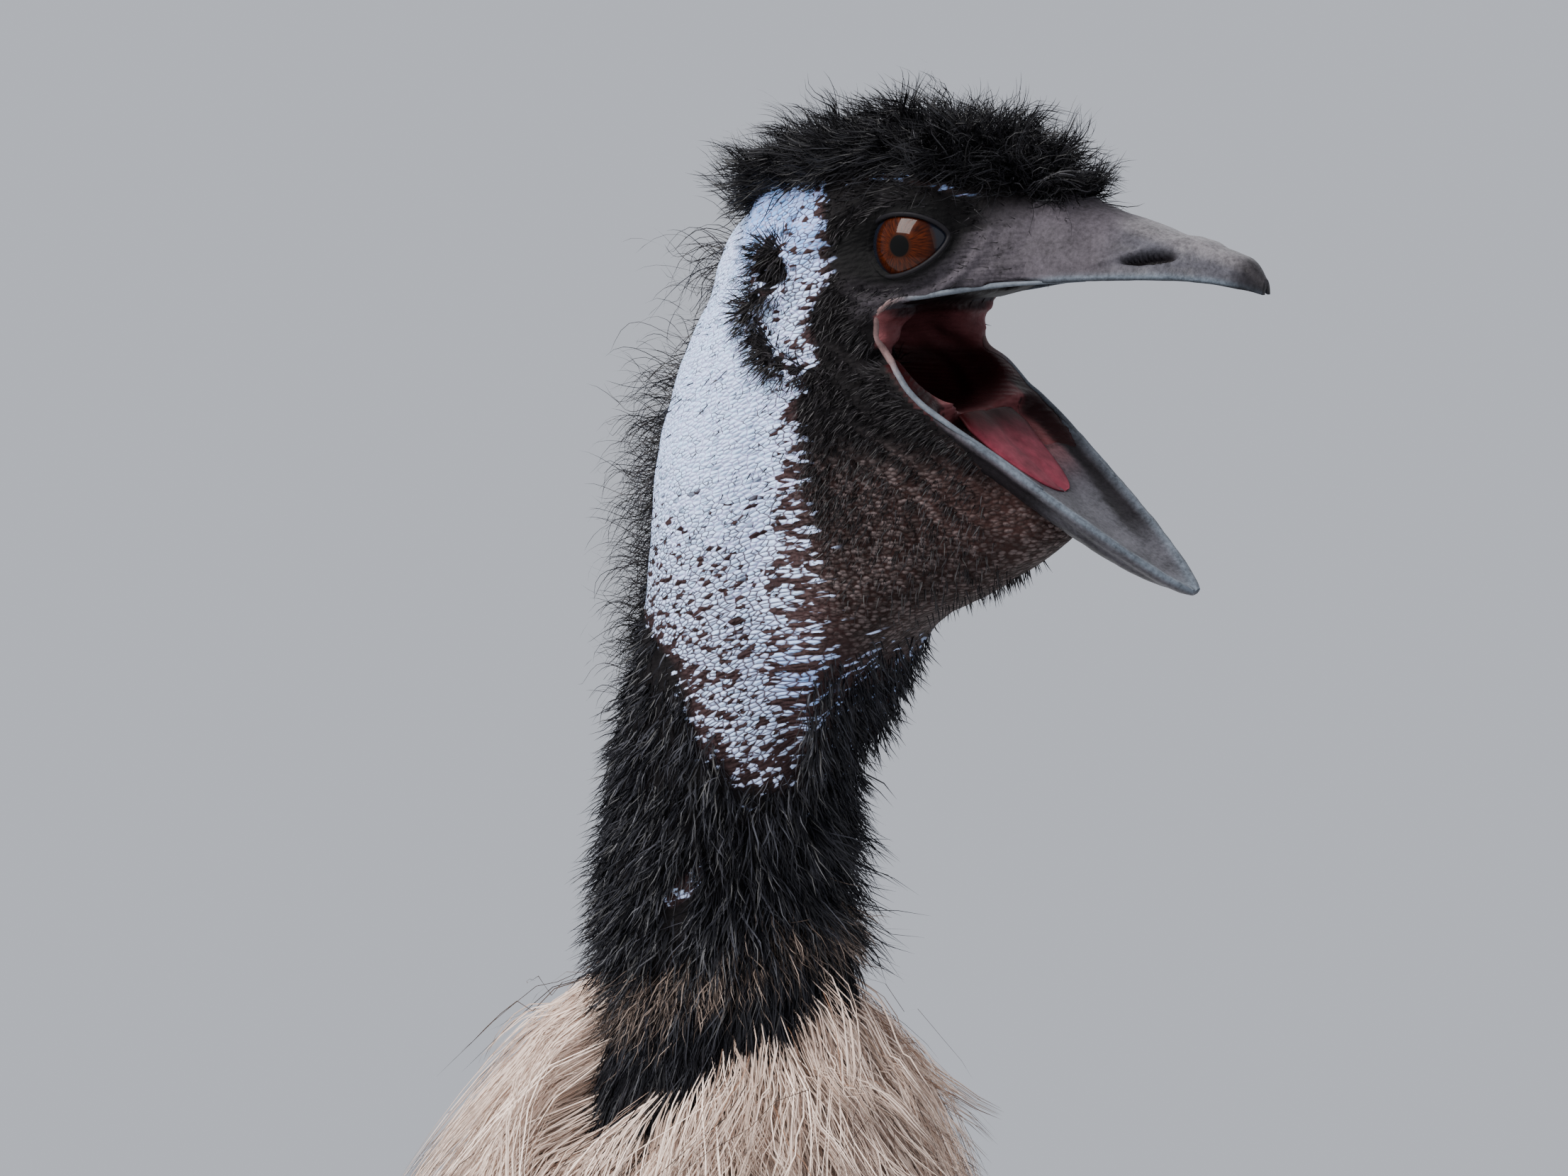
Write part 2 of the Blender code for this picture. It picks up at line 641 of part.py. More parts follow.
def sleeve_locks(neck):
    draw = random.Random(13)
    surface = surface_of(neck)
    made = []
    for z, start in SLEEVE_ROWS:
        for place in range(SLEEVE_COUNT):
            turn = math.radians(start + 360 * place / SLEEVE_COUNT + draw.uniform(-6, 6))
            out = Vector((math.cos(turn), math.sin(turn), 0.0)) * 0.034
            root = EYE_LEVEL + Vector((SLEEVE_AXIS, 0.0, z)) + out
            length = SLEEVE_LENGTH * draw.uniform(0.85, 1.15)
            made.append(lock(surface, root, DOWN, length, SLEEVE_WIDTH, SLEEVE_DEPTH, SLEEVE_LIFT,
                             0.0, 0.08))
    return made


def head(finish):
    whole, throat, jaw = head_pieces()
    neck = neck_tube("neck_upper", finish["neck_skin"])
    boolean(neck, [copy_of(throat, "throat_below")], "UNION")
    joined = [throat, jaw, neck_tube("nape")]
    for label, side in SIDES:
        joined.append(ball(f"lids_{label}", eye_centre(side), EYE_RADIUS + LID_THICKNESS))
        ear = EYE_LEVEL + on_side(EAR, side)
        joined.append(ball(f"ear_{label}", ear, EAR_RIM, (1.0, 0.24, 0.8), 10))
    joined += crest_locks(whole)
    boolean(whole, joined, "UNION")
    cuts = mouth_cutters()
    for label, side in SIDES:
        cuts.append(ball(f"socket_{label}", eye_centre(side), EYE_RADIUS + GAP))
        cuts.append(almond(f"opening_{label}", side))
        cup = EYE_LEVEL + on_side(EAR + Vector((0.0, 0.002, 0.0)), side)
        cuts.append(ball(f"cup_{label}", cup, EAR_CUP, (1.0, 0.8, 0.8), 8))
        nostril = EYE_LEVEL + on_side(NOSTRIL, side)
        cuts.append(ball(f"nostril_{label}", nostril, NOSTRIL_HALF_LENGTH, (1.0, 0.42, 0.36), 8))
    boolean(whole, cuts, "DIFFERENCE")
    regions = bill_regions()
    made = {}
    trims = []
    for name, outline in regions.items():
        bill = copy_of(whole, f"bill_{name}")
        bill.data.materials.clear()
        bill.data.materials.append(finish["horn"])
        made[name] = boolean(bill, [prism("keep", outline, HEAD_HALF_WIDTH)], "INTERSECT")
        trim = prism("trim", outline, HEAD_HALF_WIDTH)
        trim.data.transform(Matrix.Translation(HORN_GAP[name]))
        trims.append(trim)
    below = half_space("below", NECK_CUT + NECK_CUT_NORMAL * GAP, -NECK_CUT_NORMAL)
    boolean(whole, [*trims, below], "DIFFERENCE")
    whole.data.materials.clear()
    whole.data.materials.append(finish["face"])
    tongue = tongue_shape("tongue", 0.0, finish["tongue"])
    boolean(made["lower"], [tongue_shape("seat", GAP)], "DIFFERENCE")
    boolean(whole, [tongue_shape("seat", GAP)], "DIFFERENCE")
    for one in (whole, *made.values(), tongue):
        keep_largest(one)
    boolean(neck, sleeve_locks(neck), "UNION")
    top = half_space("keep", NECK_CUT, -NECK_CUT_NORMAL)
    floor_of_neck = half_space("below", FOLD + DOWN * -GAP, DOWN)
    boolean(neck, [top], "INTERSECT")
    boolean(neck, [floor_of_neck], "DIFFERENCE")
    keep_largest(neck)


def tongue_shape(name, grown, finish=None):
    """A short flat tongue that lies on the floor of the lower bill."""
    rings = []
    for part, half_width in ((0.0, 0.009), (0.35, 0.0100), (0.7, 0.0070), (0.93, 0.0035),
                             (1.0, 0.0014)):
        outline = oval(half_width + grown, 0.0022 + grown, 0.0022 + grown, 8)
        stretch = TONGUE_LENGTH * part + grown * (2 * part - 1)
        rings.append(section(along_mandible(stretch + 0.004, 0.0042), MANDIBLE_HEADING, outline))
    return loft(name, rings, finish)


def eyes(finish):
    for label, side in SIDES:
        keep_largest(ball(f"eye_{label}", eye_centre(side), EYE_RADIUS, finish=finish["eye"]))


# Legs: the feathered drumstick from inside the trunk down to the hock, as how far down it is,
# and its reach forward, back and to each side
THIGH = (
    (0.00, 0.080, 0.085, 0.060),
    (0.20, 0.095, 0.095, 0.072),
    (0.45, 0.082, 0.082, 0.066),
    (0.70, 0.060, 0.060, 0.052),
    (0.88, 0.044, 0.044, 0.040),
    (0.97, 0.034, 0.034, 0.032),
)


THIGH_SIDES = 16

# The locks round the drumstick: each row's place and first turn, and how many are in a row
THIGH_ROWS = ((0.40, 0), (0.64, 36))
THIGH_LOCKS = 5
THIGH_LOCK_LENGTH = 0.115
THIGH_LOCK_DEPTH = 0.006
THIGH_LOCK_LIFT = 0.012
SKIRT_ROOM = 0.022
SKIRT_FROM = 0.34


def thigh_shape(name, side, grown=0.0, finish=None, start=0.0):
    top, bottom = on_side(HIP, side), on_side(HOCK, side)
    rings = []
    for part, front, back, half_width in THIGH:
        if part < start:
            continue
        outline = oval(half_width + grown, front + grown, back + grown, THIGH_SIDES)
        rings.append(section(top.lerp(bottom, part), -100, outline))
    return loft(name, rings, finish)


def thigh_locks(core, side, seed):
    """Short overlapping locks round the drumstick, below the hem of the trunk's coat."""
    draw = random.Random(seed)
    surface = surface_of(core)
    top, bottom = on_side(HIP, side), on_side(HOCK, side)
    made = []
    for part, start in THIGH_ROWS:
        reach = 0.075 * (1.35 - part)
        for place in range(THIGH_LOCKS):
            turn = math.radians(start + 360 * place / THIGH_LOCKS + draw.uniform(-8, 8))
            out = Vector((math.cos(turn), math.sin(turn) * 0.85, 0.0)) * reach * 1.6
            root = top.lerp(bottom, part) + out
            length = THIGH_LOCK_LENGTH * draw.uniform(0.9, 1.1)
            made.append(lock(surface, root, bottom - top, length, reach * 0.95, THIGH_LOCK_DEPTH,
                             THIGH_LOCK_LIFT, 0.0))
    return made


# Shank: a bare knobbed hock, then the long shin bone with overlapping plates down its front
def shank_shape(name, side, grown=0.0, finish=None):
    hock, joint = on_side(HOCK, side), on_side(FOOT_JOINT, side)
    heading = math.degrees(math.atan2(joint.z - hock.z, joint.x - hock.x))
    rings = []

    def add(part, front, back, half_width):
        outline = oval(half_width + grown, front + grown, back + grown, 8)
        rings.append(section(hock.lerp(joint, part), heading, outline))

    add(-0.110, 0.020, 0.020, 0.019)
    add(-0.055, 0.023, 0.026, 0.023)
    add(-0.005, 0.027, 0.031, 0.026)
    add(0.045, 0.024, 0.027, 0.023)
    first, last = 0.085, 0.90
    for plate in range(SCUTE_COUNT):
        start = first + (last - first) * plate / SCUTE_COUNT
        end = first + (last - first) * (plate + 0.86) / SCUTE_COUNT
        swell = 0.0022 * (2 * (start - first) / (last - first) - 1) ** 2
        add(start, 0.0158 + swell, 0.0190 + swell, 0.0142 + swell)
        add(end, 0.0158 + swell + SCUTE_LIFT, 0.0190 + swell, 0.0142 + swell + SCUTE_LIFT / 2)
    add(0.93, 0.021, 0.023, 0.019)
    add(0.975, 0.024, 0.026, 0.024)
    return loft(name, rings, finish)


def foot_pad(side):
    """The broad joint that the toes grow from, flat under its sole."""
    joint = on_side(FOOT_JOINT, side)
    rings = []
    for z, half_width, front, back in ((0.0, 0.022, 0.024, 0.022), (0.006, 0.027, 0.030, 0.028),
                                       (0.020, 0.029, 0.031, 0.031), (0.036, 0.026, 0.027, 0.028),
                                       (0.050, 0.020, 0.021, 0.022)):
        outline = oval(half_width, back, front, 12)
        rings.append(section(Vector((joint.x, joint.y, z)), 90, outline))
    return loft("pad", rings)


# Toes: three, each a bar with a flat sole and plates across its top, and a claw at its end
TOE_CORNERS = (0, 45, 90, 135, 180)
SOLE_SHARE = 0.72


def toe_shape(name, side, spread, length, grown=0.0, finish=None):
    start = on_side(FOOT_JOINT, side)
    turn = math.radians(spread)
    ahead = Vector((math.cos(turn), math.sin(turn), 0.0))
    across = Vector((-math.sin(turn), math.cos(turn), 0.0))
    size = 0.75 + 0.25 * length / MIDDLE_TOE
    plates = 4
    rings = []
    for step in range(2 * plates):
        part = (step // 2 + (0.82 if step % 2 else 0.0)) / plates
        lift = SCUTE_LIFT if step % 2 else 0.0
        half_width = size * (0.0165 - 0.0050 * part + 0.0012 * math.cos(part * 9.4))
        height = size * (0.0270 - 0.0105 * part + 0.0010 * math.cos(part * 9.4)) + lift
        outline = []
        for angle in TOE_CORNERS:
            bend = math.radians(angle)
            outline.append((math.cos(bend) * (half_width + grown),
                            height * 0.42 + math.sin(bend) * (height * 0.58 + grown)))
        for flat in (-SOLE_SHARE, SOLE_SHARE):
            outline.append((flat * half_width + math.copysign(grown, flat), -grown))
        distance = 0.010 - grown + (length - 0.010 + 2 * grown) * part / (1 - 0.18 / plates)
        place = Vector((start.x, start.y, 0.0)) + ahead * distance
        rings.append([place + across * a + Vector((0.0, 0.0, h)) for a, h in outline])
    return loft(name, rings, finish)


def claw_shape(name, side, spread, length, finish):
    """A blunt, slightly bowed claw that meets the toe's flat end and rests on the floor."""
    start = on_side(FOOT_JOINT, side)
    turn = math.radians(spread)
    ahead = Vector((math.cos(turn), math.sin(turn), 0.0))
    across = Vector((-math.sin(turn), math.cos(turn), 0.0))
    rings = []
    for part, half_width, low, high in ((0.0, 0.0082, 0.0014, 0.0150), (0.3, 0.0072, 0.0004, 0.0138),
                                        (0.65, 0.0050, 0.0, 0.0098), (0.9, 0.0027, 0.0, 0.0048),
                                        (1.0, 0.0012, 0.0, 0.0018)):
        place = Vector((start.x, start.y, 0.0)) + ahead * (length + GAP + CLAW_LENGTH * part)
        middle, reach = (low + high) / 2, (high - low) / 2
        outline = oval(half_width, reach, reach, 6, 2.2)
        rings.append([place + across * a + Vector((0.0, 0.0, middle + h)) for a, h in outline])
    return keep_largest(loft(name, rings, finish))


def toes_of(side):
    return (("inner", -TOE_SPREAD * side, SIDE_TOE), ("middle", 0.0, MIDDLE_TOE),
            ("outer", TOE_SPREAD * side, SIDE_TOE * 1.05))


def legs(finish):
    clearances = []
    for label, side in SIDES:
        thigh = thigh_shape(f"thigh_{label}", side, 0.0, finish["coat"])
        boolean(thigh, thigh_locks(thigh, side, 17 + side), "UNION")
        clearances.append(thigh_shape("room", side, GAP))
        clearances.append(thigh_shape("skirt_room", side, SKIRT_ROOM, start=SKIRT_FROM))
        boolean(thigh, [shank_shape("room", side, GAP)], "DIFFERENCE")
        shank = shank_shape(f"shank_{label}", side, 0.0, finish["leg_skin"])
        boolean(shank, [foot_pad(side)], "UNION")
        rooms = []
        for place, spread, length in toes_of(side):
            toe = toe_shape(f"toe_{place}_{label}", side, spread, length, 0.0, finish["leg_skin"])
            rooms.append(toe_shape("room", side, spread, length, GAP))
            if place != "middle":
                middle = toe_shape("room", side, 0.0, MIDDLE_TOE, GAP)
                boolean(toe, [middle], "DIFFERENCE")
            keep_largest(toe)
            claw_shape(f"claw_{place}_{label}", side, spread, length, finish["claw"])
        boolean(shank, rooms, "DIFFERENCE")
        keep_largest(shank)
        keep_largest(thigh)
    return clearances


def stand_on_origin():
    """Moves the whole bird so that the middle of its box is over the origin."""
    bpy.context.view_layer.update()
    made = [one for one in bpy.data.objects if one.type == "MESH"]
    corners = [corner.co for one in made for corner in one.data.vertices]
    low = Vector([min(corner[axis] for corner in corners) for axis in range(3)])
    high = Vector([max(corner[axis] for corner in corners) for axis in range(3)])
    shift = Matrix.Translation(-Vector(((low.x + high.x) / 2, (low.y + high.y) / 2, low.z)))
    for one in made:
        one.data.transform(shift)


def build():
    for old in list(bpy.data.objects):
        bpy.data.objects.remove(old)
    finish = finishes()
    clearances = legs(finish)
    torso_tail_and_ruff(finish, clearances)
    head(finish)
    eyes(finish)
    stand_on_origin()


build()
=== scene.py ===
"""A life-size emu that stands with its neck up and its bill wide open, as a museum shows one."""
import math

import bmesh
import bpy
import numpy as np
from mathutils import Matrix, Vector, noise
from mathutils.bvhtree import BVHTree


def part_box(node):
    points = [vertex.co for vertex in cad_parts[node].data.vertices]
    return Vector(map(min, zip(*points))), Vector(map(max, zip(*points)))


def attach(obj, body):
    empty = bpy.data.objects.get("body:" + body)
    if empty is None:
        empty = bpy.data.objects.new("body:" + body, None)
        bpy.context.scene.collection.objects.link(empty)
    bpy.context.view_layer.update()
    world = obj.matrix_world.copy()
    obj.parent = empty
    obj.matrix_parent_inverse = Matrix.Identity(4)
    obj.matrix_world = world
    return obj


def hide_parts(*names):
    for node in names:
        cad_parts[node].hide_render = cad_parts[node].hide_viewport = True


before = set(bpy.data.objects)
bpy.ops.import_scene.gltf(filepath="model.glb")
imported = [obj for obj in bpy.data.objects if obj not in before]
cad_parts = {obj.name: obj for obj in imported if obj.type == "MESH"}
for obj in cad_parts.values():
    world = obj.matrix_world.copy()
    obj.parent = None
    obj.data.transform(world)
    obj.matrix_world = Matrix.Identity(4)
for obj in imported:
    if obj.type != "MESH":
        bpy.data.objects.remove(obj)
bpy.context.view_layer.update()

# Hide of the trunk, neck and head. On the bird it is one skin over muscle and skull, bare and
# pebbled on the neck, soft and grey round the bill, and hidden by feathers everywhere else. It is
# lofted as a few closed forms, fused, and its folds, lids and pebbles are pushed up out of it.
eye_low, eye_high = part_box("eye_left")
eye_radius = (eye_high.z - eye_low.z) / 2
eye_out = (eye_high.y + eye_low.y) / 2
between_eyes = np.array(((eye_low.x + eye_high.x) / 2, 0.0, (eye_low.z + eye_high.z) / 2))
eye_stand = np.array((0.504, 0.0, 1.505))
bird_origin = between_eyes - eye_stand

trunk_sections = (
    (-0.505, 0.765, 0, 0.050, 0.060, 0.045, 0.030),
    (-0.480, 0.775, 0, 0.090, 0.105, 0.085, 0.044),
    (-0.420, 0.800, 0, 0.150, 0.170, 0.150, 0.048),
    (-0.340, 0.830, 0, 0.205, 0.220, 0.215, 0.050),
    (-0.220, 0.850, 0, 0.245, 0.245, 0.255, 0.050),
    (-0.060, 0.860, 0, 0.255, 0.250, 0.265, 0.050),
    (0.080, 0.868, 2, 0.243, 0.240, 0.250, 0.050),
    (0.190, 0.900, 18, 0.205, 0.235, 0.215, 0.050),
    (0.265, 0.955, 40, 0.155, 0.195, 0.172, 0.050),
    (0.325, 1.035, 54, 0.124, 0.140, 0.138, 0.048),
    (0.375, 1.115, 64, 0.106, 0.108, 0.112, 0.044),
    (0.408, 1.190, 74, 0.092, 0.092, 0.094, 0.042),
    (0.424, 1.243, 81, 0.076, 0.076, 0.077, 0.036),
    (0.430, 1.278, 85, 0.057, 0.057, 0.057, 0.024),
    (0.432, 1.310, 90, 0.032, 0.032, 0.032, 0.003),
)
neck_sections = (
    (-0.0720, -0.2300, 90, 0.0290, 0.0290, 0.0290),
    (-0.0720, -0.2048, 90, 0.0325, 0.0325, 0.0325),
    (-0.0735, -0.1800, 86, 0.0320, 0.0320, 0.0320),
    (-0.0715, -0.1550, 84, 0.0315, 0.0310, 0.0315),
    (-0.0675, -0.1300, 80, 0.0310, 0.0320, 0.0315),
    (-0.0630, -0.1080, 80, 0.0305, 0.0330, 0.0305),
    (-0.0600, -0.0880, 84, 0.0315, 0.0295, 0.0305),
    (-0.0570, -0.0650, 86, 0.0325, 0.0295, 0.0305),
    (-0.0510, -0.0400, 78, 0.0325, 0.0285, 0.0295),
    (-0.0450, -0.0150, 78, 0.0285, 0.0235, 0.0255),
)
skull_sections = (
    (-0.0720, -0.0040, -0.0260, 0.0100, -0.0140, 2.0),
    (-0.0660, 0.0080, -0.0380, 0.0190, -0.0140, 2.0),
    (-0.0500, 0.0200, -0.0460, 0.0265, -0.0140, 2.1),
    (-0.0300, 0.0255, -0.0480, 0.0295, -0.0130, 2.1),
    (-0.0120, 0.0268, -0.0420, 0.0290, -0.0100, 2.1),
    (0.0020, 0.0258, -0.0280, 0.0265, -0.0080, 2.1),
    (0.0140, 0.0215, -0.0150, 0.0243, -0.0090, 2.0),
    (0.0260, 0.0160, -0.0100, 0.0216, -0.0085, 1.8),
    (0.0410, 0.0095, -0.0080, 0.0188, -0.0070, 1.7),
    (0.0540, 0.0055, -0.0073, 0.0160, -0.0063, 1.7),
    (0.0655, 0.0018, -0.0071, 0.0122, -0.0061, 1.7),
    (0.0750, -0.0006, -0.0078, 0.0088, -0.0066, 1.8),
    (0.0820, -0.0032, -0.0092, 0.0052, -0.0076, 2.0),
    (0.0859, -0.0074, -0.0108, 0.0018, -0.0092, 2.0),
)
throat_sections = (
    (-0.1350, -0.0400, 0.0140),
    (-0.1200, -0.0270, 0.0225),
    (-0.1080, -0.0190, 0.0275),
    (-0.0980, -0.0080, 0.0285),
    (-0.0880, 0.0110, 0.0285),
    (-0.0780, 0.0270, 0.0275),
    (-0.0700, 0.0350, 0.0275),
    (-0.0580, 0.0330, 0.0290),
    (-0.0440, 0.0200, 0.0305),
    (-0.0300, 0.0040, 0.0310),
    (-0.0160, -0.0020, 0.0290),
)
throat_centre = -0.030
throat_back = 0.032
jaw_start = np.array((0.0046, 0.0, -0.0372))
jaw_heading = -36.3
jaw_sections = (
    (-0.0140, 0.0290, 0.0200),
    (0.0000, 0.0295, 0.0160),
    (0.0140, 0.0270, 0.0130),
    (0.0260, 0.0230, 0.0110),
    (0.0420, 0.0185, 0.0100),
    (0.0566, 0.0138, 0.0085),
    (0.0700, 0.0080, 0.0055),
    (0.0760, 0.0042, 0.0034),
    (0.0790, 0.0014, 0.0014),
)
horn_start = 0.040
horn_inset = 0.0016
gape = np.array((-0.008, 0.0, -0.020))
beyond_bill = 0.12
head_half_width = 0.05
hip = np.array((-0.030, 0.125, 0.760))
hock = np.array((-0.135, 0.118, 0.425))
drumstick_sections = (
    (0.00, 0.068, 0.073, 0.048),
    (0.20, 0.080, 0.080, 0.058),
    (0.45, 0.066, 0.066, 0.052),
    (0.70, 0.046, 0.046, 0.040),
    (0.88, 0.031, 0.033, 0.029),
    (0.97, 0.026, 0.029, 0.025),
    (1.01, 0.022, 0.025, 0.021),
)


def smoothed(table, count):
    """Rows of a table with more rows between them, on a smooth curve through each column."""
    rows = np.array(table, float)
    steps = np.linspace(0, len(rows) - 1, count)
    padded = np.vstack([2 * rows[0] - rows[1], rows, 2 * rows[-1] - rows[-2]])
    first = np.minimum(steps.astype(int), len(rows) - 2)
    share = (steps - first)[:, None]
    a, b, c, d = (padded[first + step] for step in range(4))
    return 0.5 * (2 * b + (c - a) * share + (2 * a - 5 * b + 4 * c - d) * share ** 2
                  + (3 * b - a - 3 * c + d) * share ** 3)


def oval(centre, heading, half_width, up, down, sides, power=2.0):
    """A ring round a line that climbs at heading degrees from +X, with its own reach up and down."""
    turn = np.linspace(0, 2 * math.pi, sides, endpoint=False)
    across = np.sign(np.cos(turn)) * abs(np.cos(turn)) ** (2 / power) * half_width
    height = np.sign(np.sin(turn)) * abs(np.sin(turn)) ** (2 / power)
    height = np.where(height > 0, height * up, height * down)
    climb = math.radians(heading)
    rise = np.array((-math.sin(climb), 0.0, math.cos(climb)))
    return np.array(centre) + np.outer(across, (0.0, 1.0, 0.0)) + np.outer(height, rise)


def new_piece(name, bm):
    mesh = bpy.data.meshes.new(name)
    bm.to_mesh(mesh)
    bm.free()
    mesh.shade_smooth()
    piece = bpy.data.objects.new(name, mesh)
    bpy.context.scene.collection.objects.link(piece)
    return piece


def loft(name, rings):
    """One closed form through rings that have as many points each."""
    bm = bmesh.new()
    loops = []
    for points in rings:
        corners = [bm.verts.new(point) for point in points]
        loops.append([bm.edges.new((corners[i - 1], corners[i])) for i in range(len(corners))])
    for first, second in zip(loops, loops[1:]):
        bmesh.ops.bridge_loops(bm, edges=first + second)
    for end in (loops[0], loops[-1]):
        bmesh.ops.contextual_create(bm, geom=end)
    bmesh.ops.recalc_face_normals(bm, faces=bm.faces)
    return new_piece(name, bm)


def prism(name, outline):
    """A flat outline in the middle plane, measured from the eyes and made wider than the head."""
    bm = bmesh.new()
    places = [between_eyes + (x, -head_half_width, z) for x, z in outline]
    face = bm.faces.new([bm.verts.new(place) for place in places])
    grown = bmesh.ops.extrude_face_region(bm, geom=[face])
    moved = [item for item in grown["geom"] if isinstance(item, bmesh.types.BMVert)]
    bmesh.ops.translate(bm, verts=moved, vec=(0.0, 2 * head_half_width, 0.0))
    bmesh.ops.triangulate(bm, faces=bm.faces)
    bmesh.ops.recalc_face_normals(bm, faces=bm.faces)
    return new_piece(name, bm)


def ball(name, centre, radius, scale=(1, 1, 1), segments=48):
    bm = bmesh.new()
    place = Matrix.Translation(centre) @ Matrix.Diagonal((*scale, 1))
    bmesh.ops.create_uvsphere(bm, u_segments=segments, v_segments=segments // 2,
                              radius=radius, matrix=place)
    return new_piece(name, bm)


def applied(piece):
    """Turns a piece's modifiers into its mesh."""
    graph = bpy.context.evaluated_depsgraph_get()
    result = bpy.data.meshes.new_from_object(piece.evaluated_get(graph))
    piece.modifiers.clear()
    piece.data = result
    return piece


def fused(piece, others, operation):
    """Joins or cuts a closed piece with others, which are then gone."""
    group = bpy.data.collections.new("operands")
    bpy.context.scene.collection.children.link(group)
    for other in others:
        group.objects.link(other)
    step = piece.modifiers.new(operation, "BOOLEAN")
    step.operation = operation
    step.solver = "MANIFOLD"
    step.operand_type = "COLLECTION"
    step.collection = group
    bpy.context.view_layer.update()
    applied(piece)
    for other in others:
        bpy.data.objects.remove(other)
    bpy.data.collections.remove(group)
    return piece


def on_jaw(distance, depth=0.0, side=0.0):
    """A place on the lower bill: this far along it, this deep under its edge and to one side."""
    turn = math.radians(jaw_heading)
    ahead = np.array((math.cos(turn), 0.0, math.sin(turn)))
    below = np.array((math.sin(turn), 0.0, -math.cos(turn)))
    return between_eyes + jaw_start + ahead * distance + below * depth + (0.0, side, 0.0)


def under_horn(place):
    """How far the skin sinks where a sheath of horn covers it."""
    return horn_inset * min(1.0, max(0.0, (place - horn_start + 0.014) / 0.014))


skull_rings = []
for x, top, bottom, half_width, widest, power in smoothed(skull_sections, 79):
    sunk = under_horn(x)
    if x < 0.046:
        skull_rings.append(oval(between_eyes + (x, 0.0, widest), 0, half_width - sunk,
                                top - widest - sunk, widest - bottom - sunk * 0.5, 64, power))
throat_rings = [
    oval(between_eyes + (throat_centre, 0.0, z), 90, half_width, throat_back,
         front - throat_centre, 64)
    for z, front, half_width in smoothed(throat_sections, 41)
]
jaw_rings = []
for distance, half_width, depth in smoothed(jaw_sections, 65):
    sunk = under_horn(distance + 0.020)
    if distance < 0.026:
        jaw_rings.append(oval(on_jaw(distance), jaw_heading, half_width - sunk, 0.003,
                              depth - sunk, 64, 2.2))
neck_rings = [
    oval(between_eyes + (x, 0.0, z), heading, half_width, back, front, 64)
    for x, z, heading, back, front, half_width in smoothed(neck_sections, 55)
]
hide = loft("hide", skull_rings)
joined = [loft("throat", throat_rings), loft("jaw", jaw_rings), loft("neck", neck_rings)]
for side in (1, -1):
    lids_centre = between_eyes + (0.0, side * eye_out, 0.0)
    joined.append(ball("lids", lids_centre, eye_radius + 0.0014))
fused(hide, joined, "UNION")

upper_edge = ((0.0054, -0.0128), (0.0233, -0.0098), (0.0600, -0.0070), (0.0860, -0.0100))
gape_corner = ((gape[0] + 0.0012, gape[2] - 0.0055), (gape[0], gape[2]),
               (gape[0] + 0.0034, gape[2] + 0.0050))
jaw_edge = [on_jaw(distance) - between_eyes for distance in (0.079, 0.0)]
wedge = [*gape_corner, *upper_edge, (beyond_bill, -0.012), (beyond_bill, -0.105)]
wedge += [(place[0], place[2]) for place in jaw_edge] + [(-0.0010, -0.0310)]
palate_sections = ((0.006, 0.0190, 0.0008), (0.030, 0.0170, 0.0036), (0.055, 0.0125, 0.0036),
                   (0.074, 0.0060, 0.0018))
palate_level = -0.0085
palate_rings = [
    oval(between_eyes + (x, 0.0, palate_level), 0, half_width, rise, 0.006, 32)
    for x, half_width, rise in smoothed(palate_sections, 17)
]
trough_rings = [
    oval(on_jaw(distance), jaw_heading, half_width - 0.0042, 0.006, max(0.0006, depth - 0.0050),
         32)
    for distance, half_width, depth in smoothed(jaw_sections[:-2], 33) if distance > 0.003
]
hollow = ball("hollow", between_eyes + (0.001, 0.0, -0.030), 0.0212, (1.42, 1.02, 0.62))
fused(hide, [prism("wedge", wedge), hollow, loft("palate", palate_rings),
             loft("trough", trough_rings)], "DIFFERENCE")

head_voxel = 0.00142
step = hide.modifiers.new("skin", "REMESH")
step.mode = "VOXEL"
step.voxel_size = head_voxel
applied(hide)


def seen_from_eyes(places):
    """Places as columns x, y and z from between the eyes, with both sides of the head folded."""
    seen = np.array(places, float).reshape(-1, 3) - between_eyes
    seen[:, 1] = abs(seen[:, 1])
    return seen


def smooth_step(low, high, value):
    share = np.clip((value - low) / (high - low), 0.0, 1.0)
    return share * share * (3 - 2 * share)


bm = bmesh.new()
bm.from_mesh(hide.data)
for turn in range(4):
    bmesh.ops.smooth_vert(bm, verts=bm.verts, factor=0.5, use_axis_x=True, use_axis_y=True,
                          use_axis_z=True)
for reach in (0.0195, 0.0180):
    seen = seen_from_eyes([vertex.co for vertex in bm.verts])
    near = (np.hypot(seen[:, 0], seen[:, 2]) < reach) & (seen[:, 1] > 0.012)
    chosen = {vertex for vertex, inside in zip(bm.verts, near) if inside}
    edges = [edge for edge in bm.edges if edge.verts[0] in chosen and edge.verts[1] in chosen]
    bmesh.ops.subdivide_edges(bm, edges=edges, cuts=1, use_grid_fill=True)
for turn in range(2):
    bmesh.ops.smooth_vert(bm, verts=bm.verts, factor=0.5, use_axis_x=True, use_axis_y=True,
                          use_axis_z=True)
bm.normal_update()
bm.to_mesh(hide.data)
bm.free()

# The opening between the lids: half its length, its reach up and down, its tilt and its middle
opening_half, opening_up, opening_down = 0.0139, 0.0077, 0.0077
opening_middle = -0.0021
opening_tilt = math.radians(11)


def round_opening(x, z):
    """How far round and how far out of the lids' opening a place is: 1 is on its edge."""
    along = (x - opening_middle) * math.cos(opening_tilt) + z * math.sin(opening_tilt)
    up = z * math.cos(opening_tilt) - (x - opening_middle) * math.sin(opening_tilt)
    reach = np.where(up > 0, opening_up, opening_down)
    return along, up, np.sqrt((along / opening_half) ** 2 + (abs(up) / reach) ** 1.7)


def between(value, places, heights):
    return np.interp(value, places, heights)


